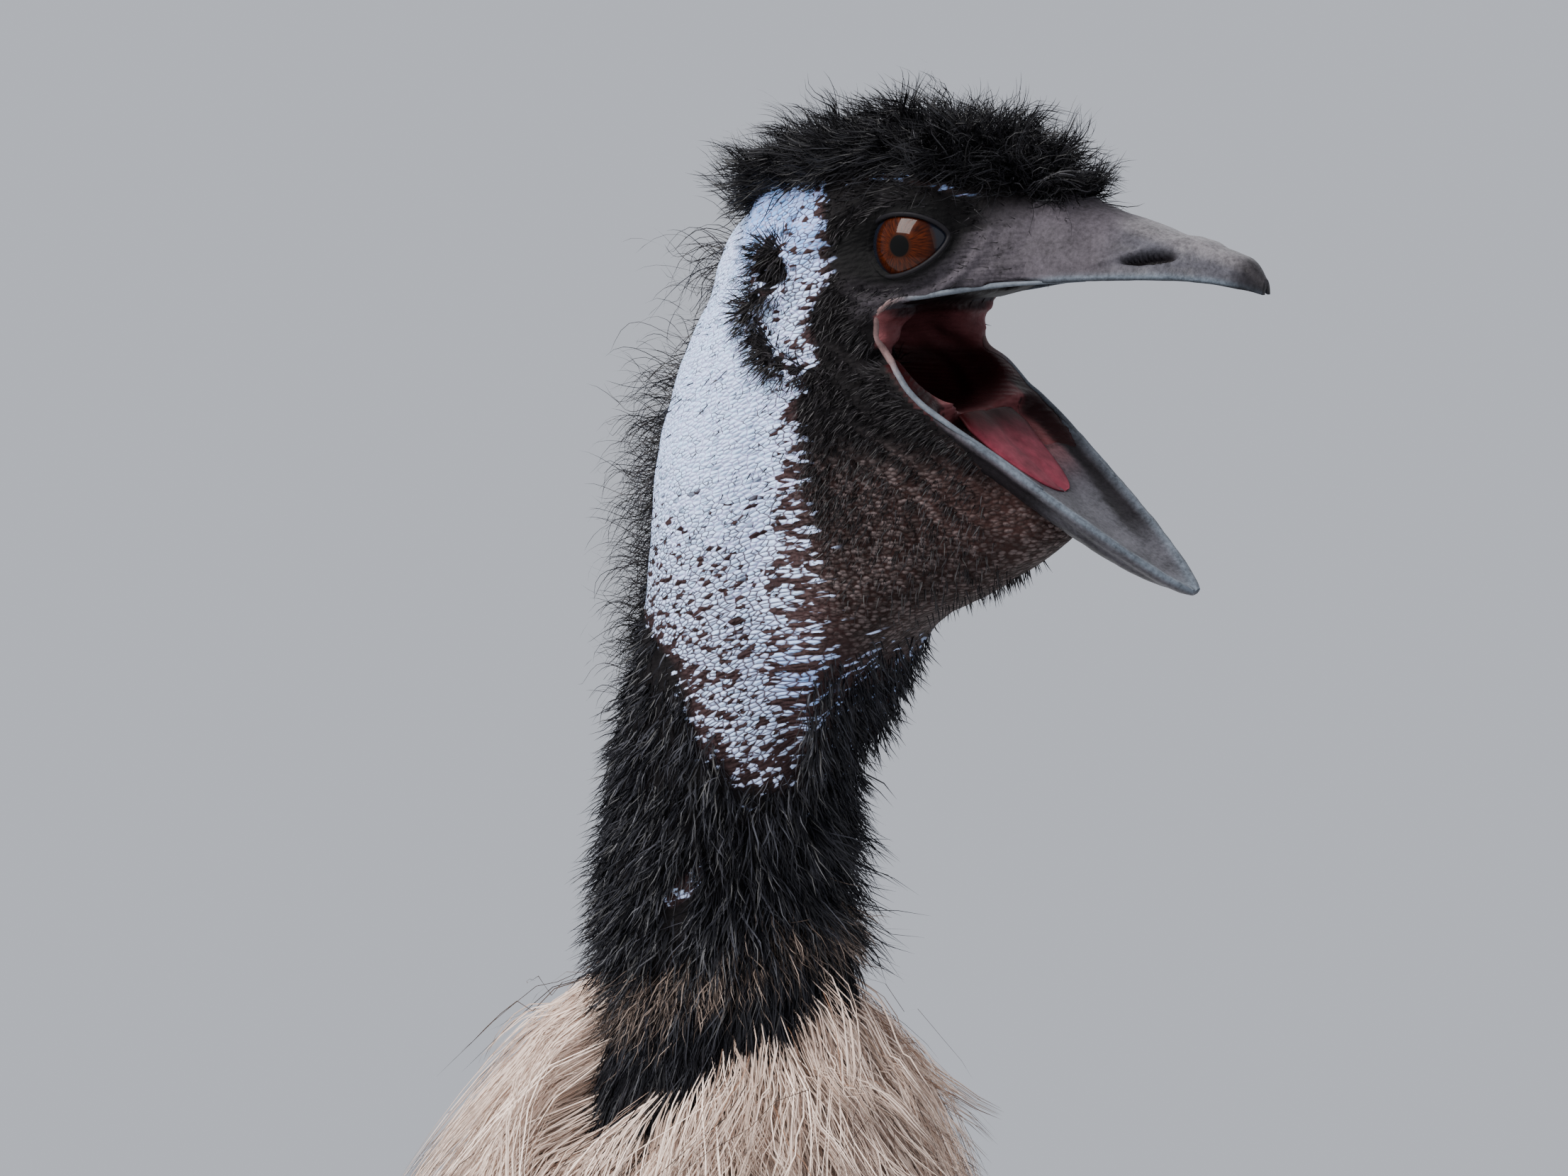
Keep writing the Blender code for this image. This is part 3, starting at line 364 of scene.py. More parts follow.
def bump(value, middle, width):
    return np.exp(-((value - middle) / width) ** 2)


def noise_at(places, size, seed=0):
    """Smooth noise between -1 and 1, one value for each place."""
    from_seed = Vector((seed * 7.3, seed * 3.1, seed * 5.7))
    return np.array([noise.noise(Vector(place) / size + from_seed) for place in places])


places = np.empty(len(hide.data.vertices) * 3)
hide.data.vertices.foreach_get("co", places)
places = places.reshape(-1, 3)
normals = np.empty_like(places)
hide.data.vertex_normals.foreach_get("vector", normals.reshape(-1))
seen = seen_from_eyes(places)
x, y, z = seen.T
along, up, ring = round_opening(x, z)
outer_side = smooth_step(0.010, 0.016, y)
near_eye = outer_side * smooth_step(0.032, 0.020, np.hypot(x, z))
rise = np.zeros(len(places))
rim = (ring - 1) * 0.0090
rise += near_eye * 0.0009 * bump(rim, 0.0016, 0.0011)
rise -= near_eye * 0.0011 * bump(rim, 0.0040, 0.0011) * smooth_step(-0.002, 0.002, up)
rise -= near_eye * 0.0007 * bump(rim, 0.0042, 0.0009) * smooth_step(0.002, -0.002, up)
rise += near_eye * 0.0005 * bump(rim, 0.0058, 0.0010) * smooth_step(0.002, -0.002, up)
rise -= near_eye * 0.0005 * bump(rim, 0.0074, 0.0009) * smooth_step(0.002, -0.002, up)
brow = 0.0128 - 0.10 * (x - 0.002) ** 2 / 0.02 - 0.10 * abs(x - 0.002)
rise += outer_side * 0.0030 * bump(z, brow, 0.0034) * bump(x, 0.003, 0.0200)
crease = z - (-0.0060 + 0.30 * (x - 0.014))
rise -= outer_side * 0.0007 * bump(crease, 0.0, 0.0010) * bump(x, 0.0235, 0.0080)
rise -= outer_side * 0.0006 * bump(crease, -0.0042, 0.0010) * bump(x, 0.0225, 0.0080)
lip = np.hypot(x - gape[0] + 0.001, z - gape[2])
rise += outer_side * 0.0012 * bump(lip, 0.0035, 0.0022)
rise -= outer_side * 0.0010 * bump(lip, 0.0085, 0.0020) * smooth_step(0.0, -0.006, x)
jaw_turn = math.radians(jaw_heading)
off_edge = ((x - jaw_start[0]) * -math.sin(jaw_turn) + (z - jaw_start[2]) * math.cos(jaw_turn))
on_cheek = smooth_step(-0.024, -0.008, x) * smooth_step(0.058, 0.040, x) * smooth_step(0.010, 0.018, y)
for depth, size in ((-0.0085, 0.0010), (-0.0135, 0.0008), (-0.0190, 0.0010), (-0.0255, 0.0008)):
    wander = depth + 0.0012 * np.sin(x * 190 + depth * 900)
    rise -= on_cheek * size * bump(off_edge, wander, 0.0012)
    rise += on_cheek * size * 0.7 * bump(off_edge, wander + 0.0024, 0.0014)
ear = np.hypot((x + 0.0380) / 1.0, (z + 0.0078) / 0.85)
rise += smooth_step(0.015, 0.022, y) * 0.0012 * bump(ear, 0.0068, 0.0024)
rise -= smooth_step(0.015, 0.022, y) * 0.0042 * bump(ear, 0.0, 0.0032)
slimmer = between(z, (-0.060, -0.020, -0.003, 0.030), (0.0, 0.0020, 0.0040, 0.0040))
rise -= slimmer * smooth_step(-0.046, -0.060, x)
skin_folds = noise_at(places, 0.016, 1) * 0.0007 + noise_at(places, 0.006, 2) * 0.00028
rise += skin_folds * smooth_step(0.060, 0.030, x)
places += normals * rise[:, None]

# Under the lids the hide dips below the globe of the eye, so that their edge stands free
eyeball = np.column_stack((np.zeros(len(y)), np.sign(places[:, 1]) * eye_out, np.zeros(len(y))))
from_globe = places - between_eyes - eyeball
reach = np.linalg.norm(from_globe, axis=1)
lid_outside = eye_radius + 0.0013
dip = smooth_step(1.06, 0.94, ring) * smooth_step(0.018, 0.022, y)
wanted = lid_outside + (eye_radius - 0.0016 - lid_outside) * dip
held = smooth_step(1.45, 1.10, ring) * smooth_step(0.018, 0.022, y)
places += from_globe / reach[:, None] * ((wanted - reach) * held)[:, None]
hide.data.vertices.foreach_set("co", places.reshape(-1))
hide.data.update()


trunk_rings = [
    oval(bird_origin + (x, 0.0, z), heading, half_width - inset, up - inset, down - inset, 64)
    for x, z, heading, up, down, half_width, inset in smoothed(trunk_sections, 71)
]
trunk = loft("trunk", trunk_rings)
drumsticks = []
for side in (1, -1):
    top, bottom = (bird_origin + place * (1, side, 1) for place in (hip, hock))
    rings = [
        oval(top + (bottom - top) * part, -100, half_width, front, back, 40)
        for part, front, back, half_width in smoothed(drumstick_sections, 25)
    ]
    drumsticks.append(loft("drumstick", rings))
fused(trunk, drumsticks, "UNION")
fused(hide, [trunk], "UNION")
hide.data.shade_smooth()


def read_places(piece):
    """The places of a piece's corners, one row each."""
    found = np.empty(len(piece.data.vertices) * 3)
    piece.data.vertices.foreach_get("co", found)
    return found.reshape(-1, 3)


def paint(piece, name, values):
    """Keeps one number for each corner of a piece, which its material reads by name."""
    layer = piece.data.attributes.new(name, "FLOAT", "POINT")
    layer.data.foreach_set("value", np.asarray(values, np.float32))


def bare_blue(seen):
    """Where the neck is bare and blue: 1 well inside, and less towards its ragged edges."""
    x, y, z = seen.T
    front = between(z, (-0.134, -0.113, -0.102, -0.090, -0.077, -0.060, -0.050, -0.040, -0.031,
                        -0.017, -0.009, 0.003, 0.015),
                    (-0.038, -0.022, -0.021, -0.0235, -0.028, -0.031, -0.0295, -0.030, -0.023,
                     -0.027, -0.021, -0.022, -0.028))
    top = between(x, (-0.070, -0.064, -0.052, -0.040, -0.026), (0.0050, 0.0075, 0.0125, 0.0145, 0.016))
    nape = between(z, (-0.20, -0.10, 0.0), (0.0150, 0.0085, 0.0060))
    fade = between(z, (-0.100, -0.060, -0.040), (0.017, 0.015, 0.004))
    found = smooth_step(1.0, -1.0, (x - front) / fade)
    found *= smooth_step(0.0025, -0.003, z - top)
    found *= smooth_step(-0.158, -0.128, z)
    found *= np.maximum(smooth_step(-0.003, 0.003, y - nape), smooth_step(-0.050, -0.040, x))
    lower_back = between(z, (-0.146, -0.131, -0.121, -0.111, -0.102, -0.094),
                         (-0.0485, -0.0575, -0.0605, -0.0645, -0.078, -0.100))
    found *= smooth_step(-0.010, 0.008, x - lower_back)
    found *= 1 - ear_hair(seen)
    brow_line = between(x, (-0.022, -0.014, -0.005, 0.005, 0.012), (0.0152, 0.0168, 0.0173, 0.0152, 0.0127))
    flecks = bump(z, brow_line, 0.0015) * smooth_step(0.012, 0.016, y) * bump(x, -0.005, 0.022)
    found = np.maximum(found, flecks * 0.62)
    off_x, off_z = (x + 0.065) * 0.7, (z + 0.170) * 0.7
    streak = np.hypot((off_x + off_z) / 0.0095, (off_x - off_z) / 0.0034)
    return np.maximum(found, smooth_step(1.2, 0.5, streak) * 0.61)


def ear_hair(seen):
    """The dark bristly patch round the ear, and its tail down to the corner of the jaw."""
    x, y, z = seen.T
    spots = ((-0.0388, -0.0040, 0.0056), (-0.0392, -0.0090, 0.0050), (-0.0435, -0.0140, 0.0028),
             (-0.0480, -0.0185, 0.0036), (-0.0452, -0.0215, 0.0036), (-0.0425, -0.0250, 0.0036),
             (-0.0395, -0.0285, 0.0038), (-0.0350, -0.0305, 0.0030), (-0.0300, -0.0318, 0.0026),
             (-0.0255, -0.0328, 0.0026))
    found = np.zeros(len(x))
    for spot_x, spot_z, reach in spots:
        away = np.hypot(x - spot_x, z - spot_z) / (reach * 0.88)
        found = np.maximum(found, 0.86 * smooth_step(1.55, 0.45, away))
    return found


def bare_grey(seen):
    """Where the face is bare, grey and finely granular: from the eye to the bill and round it."""
    x, y, z = seen.T
    upper = between(x, (-0.012, 0.002, 0.012, 0.022, 0.034, 0.046),
                    (-0.0100, -0.0070, 0.0010, 0.0075, 0.0105, 0.0160))
    found = smooth_step(0.0070, -0.0055, z - upper)
    found *= smooth_step(-0.020, -0.009, x) * smooth_step(-0.0200, -0.0155, z)
    found *= between(x, (-0.006, 0.008), (0.55, 1.0))
    return found * smooth_step(0.0, 0.006, y + between(x, (0.02, 0.05), (-0.012, 0.006)))


def unit(rows):
    return rows / np.maximum(np.linalg.norm(rows, axis=1), 1e-9)[:, None]


def mouth_inside(places, normals):
    """Where the skin lines the mouth, told by its side of the edges of the bill."""
    seen = places - between_eyes
    x, y, z = seen.T
    jaw_turn = math.radians(jaw_heading)
    off_jaw = (x - jaw_start[0]) * -math.sin(jaw_turn) + (z - jaw_start[2]) * math.cos(jaw_turn)
    upper = between(x, (-0.008, 0.0054, 0.0233, 0.06, 0.086), (-0.018, -0.0128, -0.0098, -0.007, -0.010))
    core = ((x > -0.032) | ((x > -0.042) & (abs(y) < 0.018))) & (z < upper + 0.0045) & (off_jaw > -0.016) & (z > -0.100)
    in_centre = -(normals[:, 1] * np.sign(y))
    hollow = np.sqrt(((x - 0.001) / 0.0315) ** 2 + (y / 0.0228) ** 2 + ((z + 0.030) / 0.0145) ** 2)
    trough = (abs(y) < between(x, (-0.008, 0.0, 0.02, 0.06), (0.0200, 0.0240, 0.0215, 0.010)))
    trough &= off_jaw < 0.002
    floor = trough & (off_jaw > -0.0125) & ((in_centre > 0.05) | (normals[:, 2] > 0.3))
    roof = (abs(y) < between(x, (0.0, 0.03, 0.06), (0.022, 0.0180, 0.0125))) & (normals[:, 2] < 0.1)
    walls = (hollow < 1.16) & ((in_centre > 0.10) | (abs(y) < 0.019))
    to_middle = unit(np.column_stack((0.014 - x, 0 * x, -0.026 - z)))
    cut_edge = (x > -0.0085) & (x < 0.034) & (z < upper + 0.0008) & (off_jaw > -0.0035)
    cut_edge &= (abs(normals[:, 1]) < 0.85) & ((normals * to_middle).sum(1) > 0.25)
    under = (normals[:, 2] < -0.35) & (z > upper - 0.004) & (x > 0.0) & (x < 0.050)
    under &= (z < upper - 0.0002) | (abs(y) < between(x, (0.0, 0.03, 0.06), (0.022, 0.0180, 0.0125)))
    return (core & (cut_edge | walls | floor | under | (roof & (z > upper - 0.004) & (x > 0.0)))).astype(float)


def read_normals(piece):
    found = np.empty(len(piece.data.vertices) * 3)
    piece.data.vertex_normals.foreach_get("vector", found)
    return found.reshape(-1, 3)


places = read_places(hide)
normals = read_normals(hide)
seen = seen_from_eyes(places)
x, y, z = seen.T
blue = bare_blue(seen)
inside = mouth_inside(places, normals)
paint(hide, "blue", blue)
paint(hide, "grey", bare_grey(seen))
paint(hide, "inside", inside)
deep = smooth_step(-0.016, 0.004, z) * smooth_step(-0.062, -0.046, x)
deep = np.maximum(deep, bump(np.hypot(x + 0.030, z + 0.112), 0.0, 0.012))
paint(hide, "deep", deep)
rich = 0.55 * smooth_step(-0.0172, -0.0195, z) * smooth_step(-0.0300, -0.0240, z)
rich = np.maximum(rich, 0.9 * smooth_step(-0.005, 0.010, x) * smooth_step(-0.032, -0.040, z))
wall_top = between(x, (0.0, 0.012, 0.022, 0.033, 0.040), (0.0205, 0.0195, 0.0165, 0.0120, 0.0080))
# Painted shade: the band under the edge of the upper bill and the inner wall of the far jaw are made near-black, for
# the shade inside the open mouth.
painted_mouth_shade = inside * smooth_step(-0.0190, -0.0168, z) * smooth_step(-0.009, -0.001, x)
painted_mouth_shade = np.maximum(painted_mouth_shade, inside * smooth_step(-0.0010, 0.0012, y - wall_top) * smooth_step(-0.033, -0.037, z))
rim_near = np.hypot(x - gape[0], z - gape[2])
rich = np.maximum(rich, smooth_step(0.0075, 0.0030, rim_near) * smooth_step(0.020, 0.026, y))
paint(hide, "flush", rich)
along, up, ring = round_opening(x, z)
# The lids' own dark skin is painted black. The band that reaches further above the upper lid is painted shade under the
# brow.
reach_up = np.where(up > 0, 2.2, 1.5)
lids = smooth_step(reach_up, 1.05, ring) * smooth_step(0.012, 0.018, y)
paint(hide, "black", np.maximum(lids, painted_mouth_shade * 0.9))
warm = bump(np.hypot((x - 0.018) / 1.4, z + 0.064), 0.0, 0.011) * smooth_step(0.004, 0.010, y)
warm = np.maximum(warm, smooth_step(-0.24, -0.30, z))
paint(hide, "down", smooth_step(-0.33, -0.42, z))
paint(hide, "warm", warm)
brownish = smooth_step(-0.044, -0.064, z) * smooth_step(-0.118, -0.096, z) * smooth_step(-0.045, -0.022, x)
mottled = smooth_step(-0.050, -0.108, z) * 0.85 + smooth_step(-0.048, -0.028, x) * 0.45
paint(hide, "mottle", np.clip(mottled, 0, 1))
paint(hide, "brown", brownish)
neck_line = between(z, (-0.25, -0.13, -0.065, -0.015, 0.03), (-0.072, -0.0675, -0.057, -0.040, -0.030))
round_neck = np.arctan2(y, x - neck_line)
pebble_map = hide.data.uv_layers.new(name="pebbles")
corner_of = np.empty(len(hide.data.loops), np.int32)
hide.data.loops.foreach_get("vertex_index", corner_of)
pebble_turn = math.radians(24)
around, height = round_neck * 0.030, z
pebble_u = (around * math.cos(pebble_turn) - height * math.sin(pebble_turn)) / 0.0020
pebble_v = (around * math.sin(pebble_turn) + height * math.cos(pebble_turn)) / 0.00108
flat = np.column_stack((pebble_u, pebble_v)).astype(np.float32)
pebble_map.data.foreach_set("uv", flat[corner_of].reshape(-1))


def node(tree, kind, inputs=(), **settings):
    """Adds a shader node, whose inputs are values or the outputs of other nodes."""
    made = tree.nodes.new("ShaderNode" + kind)
    for name, value in settings.items():
        setattr(made, name, value)
    for name, value in dict(inputs).items():
        if isinstance(value, bpy.types.NodeSocket):
            tree.links.new(value, made.inputs[name])
        else:
            made.inputs[name].default_value = value
    return made


def painted(tree, name):
    return node(tree, "Attribute", attribute_name=name).outputs["Fac"]


def sum_of(tree, kind, first, second=0.0):
    return node(tree, "Math", {0: first, 1: second}, operation=kind).outputs[0]


def spread(tree, value, low, high, to_low=0.0, to_high=1.0):
    inputs = {"Value": value, "From Min": low, "From Max": high, "To Min": to_low, "To Max": to_high}
    return node(tree, "MapRange", inputs, interpolation_type="SMOOTHSTEP").outputs[0]


def mixed(tree, share, first, second, kind="MIX"):
    inputs = {0: share, 6: first, 7: second}
    return node(tree, "Mix", inputs, data_type="RGBA", blend_type=kind).outputs[2]


def speckle(tree, size, detail=3.0, where=None):
    inputs = {"Scale": 1 / size, "Detail": detail, "Roughness": 0.6}
    if where:
        inputs["Vector"] = where
    return node(tree, "TexNoise", inputs, noise_dimensions="3D").outputs["Fac"]


def new_material(name):
    """A named material with nothing but its shader, and that shader."""
    made = bpy.data.materials.new(name)
    made.use_nodes = True
    return made, made.node_tree, made.node_tree.nodes["Principled BSDF"]


def linked(tree, shader, **sockets):
    for name, value in sockets.items():
        tree.links.new(value, shader.inputs[name.replace("_", " ")])


# Fine granular skin, on the hide, at the root of the bill and on the legs
granular = bpy.data.node_groups.new("granular_skin", "ShaderNodeTree")
for name, kind in (("Colour", "NodeSocketColor"), ("Grain", "NodeSocketFloat"),
                   ("Contrast", "NodeSocketFloat")):
    granular.interface.new_socket(name, in_out="INPUT", socket_type=kind)
for name, kind in (("Colour", "NodeSocketColor"), ("Height", "NodeSocketFloat")):
    granular.interface.new_socket(name, in_out="OUTPUT", socket_type=kind)
given = granular.nodes.new("NodeGroupInput")
place = node(granular, "TexCoord").outputs["Object"]
grain = node(granular, "TexNoise", {"Vector": place, "Scale": given.outputs["Grain"], "Detail": 3.0,
                                    "Roughness": 0.65})
larger = node(granular, "TexNoise", {"Vector": place, "Scale": 130.0, "Detail": 2.0})
both = sum_of(granular, "ADD", sum_of(granular, "MULTIPLY", grain.outputs["Fac"], 0.6),
              sum_of(granular, "MULTIPLY", larger.outputs["Fac"], 0.4))
swing = sum_of(granular, "MULTIPLY", sum_of(granular, "SUBTRACT", both, 0.5), given.outputs["Contrast"])
bright = sum_of(granular, "MAXIMUM", sum_of(granular, "ADD", swing, 1.0), 0.05)
grey = node(granular, "CombineColor", {"Red": bright, "Green": bright, "Blue": bright}).outputs[0]
result = granular.nodes.new("NodeGroupOutput")
granular.links.new(mixed(granular, 1.0, given.outputs["Colour"], grey, "MULTIPLY"),
                   result.inputs["Colour"])
granular.links.new(both, result.inputs["Height"])


def grained(tree, colour, grain, contrast):
    """The colour and height that the shared skin group gives."""
    made = node(tree, "Group", node_tree=granular)
    if isinstance(colour, bpy.types.NodeSocket):
        tree.links.new(colour, made.inputs["Colour"])
    else:
        made.inputs["Colour"].default_value = colour
    made.inputs["Grain"].default_value = grain
    made.inputs["Contrast"].default_value = contrast
    return made.outputs["Colour"], made.outputs["Height"]


face_black = (0.0045, 0.0038, 0.0043, 1)
bare_grey_skin = (0.041, 0.036, 0.043, 1)
lids_and_painted_shade_black = (0.0016, 0.0015, 0.0018, 1)
pale_blue = (0.44, 0.60, 0.87, 1)
strong_blue = (0.17, 0.36, 0.74, 1)
gap_brown = (0.040, 0.0215, 0.0225, 1)
throat_brown = (0.022, 0.0155, 0.015, 1)
throat_pale = (0.078, 0.060, 0.060, 1)
throat_gap = (0.012, 0.0055, 0.005, 1)
gap_lilac = (0.27, 0.25, 0.42, 1)
warm_brown = (0.045, 0.022, 0.020, 1)
down_brown = (0.060, 0.043, 0.033, 1)
mouth_dark = (0.015, 0.0022, 0.0028, 1)
mouth_pink = (0.125, 0.040, 0.044, 1)

hide_look, tree, shader = new_material("hide")
pebbles = node(tree, "UVMap", uv_map="pebbles").outputs["UV"]
cells = node(tree, "TexVoronoi", {"Vector": pebbles, "Scale": 1.0, "Randomness": 1.0},
             voronoi_dimensions="2D", feature="F1")
edges = node(tree, "TexVoronoi", {"Vector": pebbles, "Scale": 1.0, "Randomness": 1.0},
             voronoi_dimensions="2D", feature="DISTANCE_TO_EDGE")
chance = node(tree, "SeparateColor", {"Color": cells.outputs["Color"]}).outputs["Red"]
blue_here = painted(tree, "blue")
cell_luck = sum_of(tree, "MULTIPLY", sum_of(tree, "SUBTRACT", chance, 0.5), 0.88)
chosen = sum_of(tree, "ADD", blue_here, cell_luck)
mottle = painted(tree, "mottle")
blotch = node(tree, "TexNoise", {"Vector": pebbles, "Scale": 0.46, "Detail": 3.0},
              noise_dimensions="2D").outputs["Fac"]
blotch = sum_of(tree, "MULTIPLY", spread(tree, blotch, 0.42, 0.60), mottle)
chosen = sum_of(tree, "SUBTRACT", chosen, sum_of(tree, "MULTIPLY", blotch, 0.66))
is_blue = spread(tree, chosen, 0.46, 0.64)
gap_width = spread(tree, mottle, 0.0, 1.0, 0.13, 0.26)
gap = node(tree, "MapRange", {"Value": edges.outputs["Distance"], "From Min": gap_width,
                              "From Max": 0.02, "To Min": 0.0, "To Max": 1.0}).outputs[0]
slit = node(tree, "TexNoise", {"Vector": pebbles, "Scale": 0.42, "Detail": 2.0},
            noise_dimensions="2D").outputs["Fac"]
slit = spread(tree, sum_of(tree, "ADD", slit, sum_of(tree, "MULTIPLY", mottle, 0.34)), 0.48, 0.66)
blue_skin = mixed(tree, painted(tree, "deep"), pale_blue, strong_blue)
tinge = spread(tree, chance, 0.0, 1.0, 0.0, 0.40)
blue_skin = mixed(tree, tinge, blue_skin, (0.46, 0.46, 0.68, 1))
gap_colour = mixed(tree, slit, gap_lilac, gap_brown)
blue_skin = mixed(tree, gap, blue_skin, gap_colour)
hide_place = node(tree, "TexCoord").outputs["Object"]
grain_stretch = node(tree, "Mapping", {"Vector": hide_place, "Rotation": (0.0, 0.5, 0.0),
                                       "Scale": (0.75, 0.75, 1.35)}).outputs[0]
grains = node(tree, "TexVoronoi", {"Vector": grain_stretch, "Scale": 820.0, "Randomness": 1.0})
grain_chance = node(tree, "SeparateColor", {"Color": grains.outputs["Color"]}).outputs["Green"]
patchy = speckle(tree, 0.005, 3.0, hide_place)
pale_spot = spread(tree, sum_of(tree, "ADD", grain_chance, patchy), 0.75, 1.45)
throat = mixed(tree, pale_spot, throat_brown, throat_pale)
throat = mixed(tree, spread(tree, grains.outputs["Distance"], 0.35, 0.75), throat, throat_gap)
dark_skin = mixed(tree, painted(tree, "brown"), face_black, throat)
warm_share = sum_of(tree, "MULTIPLY", painted(tree, "warm"), 0.4)
dark_skin = mixed(tree, warm_share, dark_skin, warm_brown)
down_share = sum_of(tree, "MULTIPLY", painted(tree, "down"), 0.85)
dark_skin = mixed(tree, down_share, dark_skin, down_brown)
dark_skin = mixed(tree, painted(tree, "grey"), dark_skin, bare_grey_skin)
brown_share = sum_of(tree, "MULTIPLY", spread(tree, blue_here, 0.20, 0.65), 0.55)
dark_skin = mixed(tree, brown_share, dark_skin, gap_brown)
dark_skin, grain_height = grained(tree, dark_skin, 900.0, 3.0)
colour = mixed(tree, is_blue, dark_skin, blue_skin)
lining = mixed(tree, painted(tree, "flush"), mouth_dark, mouth_pink)
lining, _ = grained(tree, lining, 260.0, 1.2)
colour = mixed(tree, painted(tree, "inside"), colour, lining)
# Painted black: the dark lid skin, with painted shade above the upper lid and inside the open mouth.
colour = mixed(tree, painted(tree, "black"), colour, lids_and_painted_shade_black)
dome = spread(tree, cells.outputs["Distance"], 0.75, 0.0)
dome = sum_of(tree, "MULTIPLY", dome, sum_of(tree, "MAXIMUM", blue_here, 0.25))
grain_dome = spread(tree, grains.outputs["Distance"], 0.8, 0.0)
grain_dome = sum_of(tree, "MULTIPLY", grain_dome, painted(tree, "brown"))
relief = sum_of(tree, "ADD", dome, sum_of(tree, "MULTIPLY", grain_height, 0.6))
relief = sum_of(tree, "ADD", relief, grain_dome)
bumped = node(tree, "Bump", {"Strength": 0.8, "Distance": 0.0006, "Height": relief}).outputs[0]
rough = mixed(tree, painted(tree, "inside"), (0.66, 0.66, 0.66, 1), (0.50, 0.50, 0.50, 1))
linked(tree, shader, Base_Color=colour, Normal=bumped, Roughness=rough)
shader.inputs["Specular IOR Level"].default_value = 0.06
hide.data.materials.clear()
hide.data.materials.append(hide_look)
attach(hide, "root")
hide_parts("torso", "tail", "neck_lower", "neck_upper", "head", "thigh_left", "thigh_right")

# Eyes. Each is a wet globe set deep under the brow, with an orange-brown iris, a round pupil and
# a grey-blue third lid folded into its front corner. Two moist rims of the lids close round it.
iris_radius = 0.0086
pupil_radius = 0.0028
cornea_rise = 0.0005
iris_turn = math.radians(-2)
eye_look, tree, shader = new_material("eye")
seen_at = node(tree, "UVMap", uv_map="iris").outputs["UV"]
parts = node(tree, "SeparateXYZ", {"Vector": seen_at})
iris_x, iris_z = parts.outputs["X"], parts.outputs["Y"]
squares = sum_of(tree, "ADD", sum_of(tree, "MULTIPLY", iris_x, iris_x),
                 sum_of(tree, "MULTIPLY", iris_z, iris_z))
from_pupil = sum_of(tree, "SQRT", squares)
spoke = sum_of(tree, "ARCTAN2", iris_z, iris_x)
streaks = node(tree, "CombineXYZ", {"X": sum_of(tree, "MULTIPLY", spoke, 9.0),
                                    "Y": sum_of(tree, "MULTIPLY", from_pupil, 260.0)}).outputs[0]
streak = node(tree, "TexNoise", {"Vector": streaks, "Scale": 1.6, "Detail": 4.0}).outputs["Fac"]
iris = mixed(tree, spread(tree, streak, 0.32, 0.68), (0.010, 0.0018, 0.0006, 1), (0.042, 0.0078, 0.0016, 1))
iris = mixed(tree, spread(tree, from_pupil, 0.0062, iris_radius), iris, (0.010, 0.0025, 0.0015, 1))
iris = mixed(tree, spread(tree, from_pupil, pupil_radius + 0.0008, pupil_radius), iris,
             (0.018, 0.005, 0.002, 1))
outside = sum_of(tree, "ADD", from_pupil, sum_of(tree, "MULTIPLY", streak, 0.0005))
eye_colour = mixed(tree, spread(tree, outside, iris_radius - 0.0003, iris_radius + 0.0005), iris,
                   (0.0042, 0.0052, 0.0090, 1))
eye_colour = mixed(tree, spread(tree, from_pupil, pupil_radius + 0.0001, pupil_radius - 0.0003),
                   eye_colour, (0.002, 0.002, 0.002, 1))
linked(tree, shader, Base_Color=eye_colour)
shader.inputs["Roughness"].default_value = 0.25
shader.inputs["Specular IOR Level"].default_value = 0.02
shader.inputs["Coat Weight"].default_value = 0.3
shader.inputs["Coat IOR"].default_value = 1.38
shader.inputs["Coat Roughness"].default_value = 0.02

rim_look, tree, shader = new_material("lid_rim")
rim_colour, rim_height = grained(tree, (0.006, 0.0055, 0.007, 1), 1100.0, 1.6)
linked(tree, shader, Base_Color=rim_colour)
shader.inputs["Roughness"].default_value = 0.55
shader.inputs["Specular IOR Level"].default_value = 0.07


def swept(bm, path, radius, sides=10, closed=False):
    """A round cord of skin along a path, with its own radius at each point."""
    path = np.asarray(path)
    ahead = np.roll(path, -1, 0) - np.roll(path, 1, 0)
    if not closed:
        ahead[0], ahead[-1] = path[1] - path[0], path[-1] - path[-2]
    loops = []
    turn = np.linspace(0, 2 * math.pi, sides, endpoint=False)
    upright = Vector((0.0, 0.0, 1.0))
    radii = np.broadcast_to(radius, len(path))
    for place, tangent, size in zip(path, ahead, radii):
        tangent = Vector(tangent).normalized()
        across = tangent.cross(upright).normalized() if abs(tangent.z) < 0.99 else Vector((1, 0, 0))
        up = across.cross(tangent)
        ring = [bm.verts.new(Vector(place) + (across * math.cos(t) + up * math.sin(t)) * size)
                for t in turn]
        loops.append([bm.edges.new((ring[i - 1], ring[i])) for i in range(sides)])
    pairs = list(zip(loops, loops[1:]))
    if closed:
        pairs.append((loops[-1], loops[0]))
    for first, second in pairs:
        bmesh.ops.bridge_loops(bm, edges=first + second)
    if not closed:
        for end in (loops[0], loops[-1]):
            bmesh.ops.contextual_create(bm, geom=end)


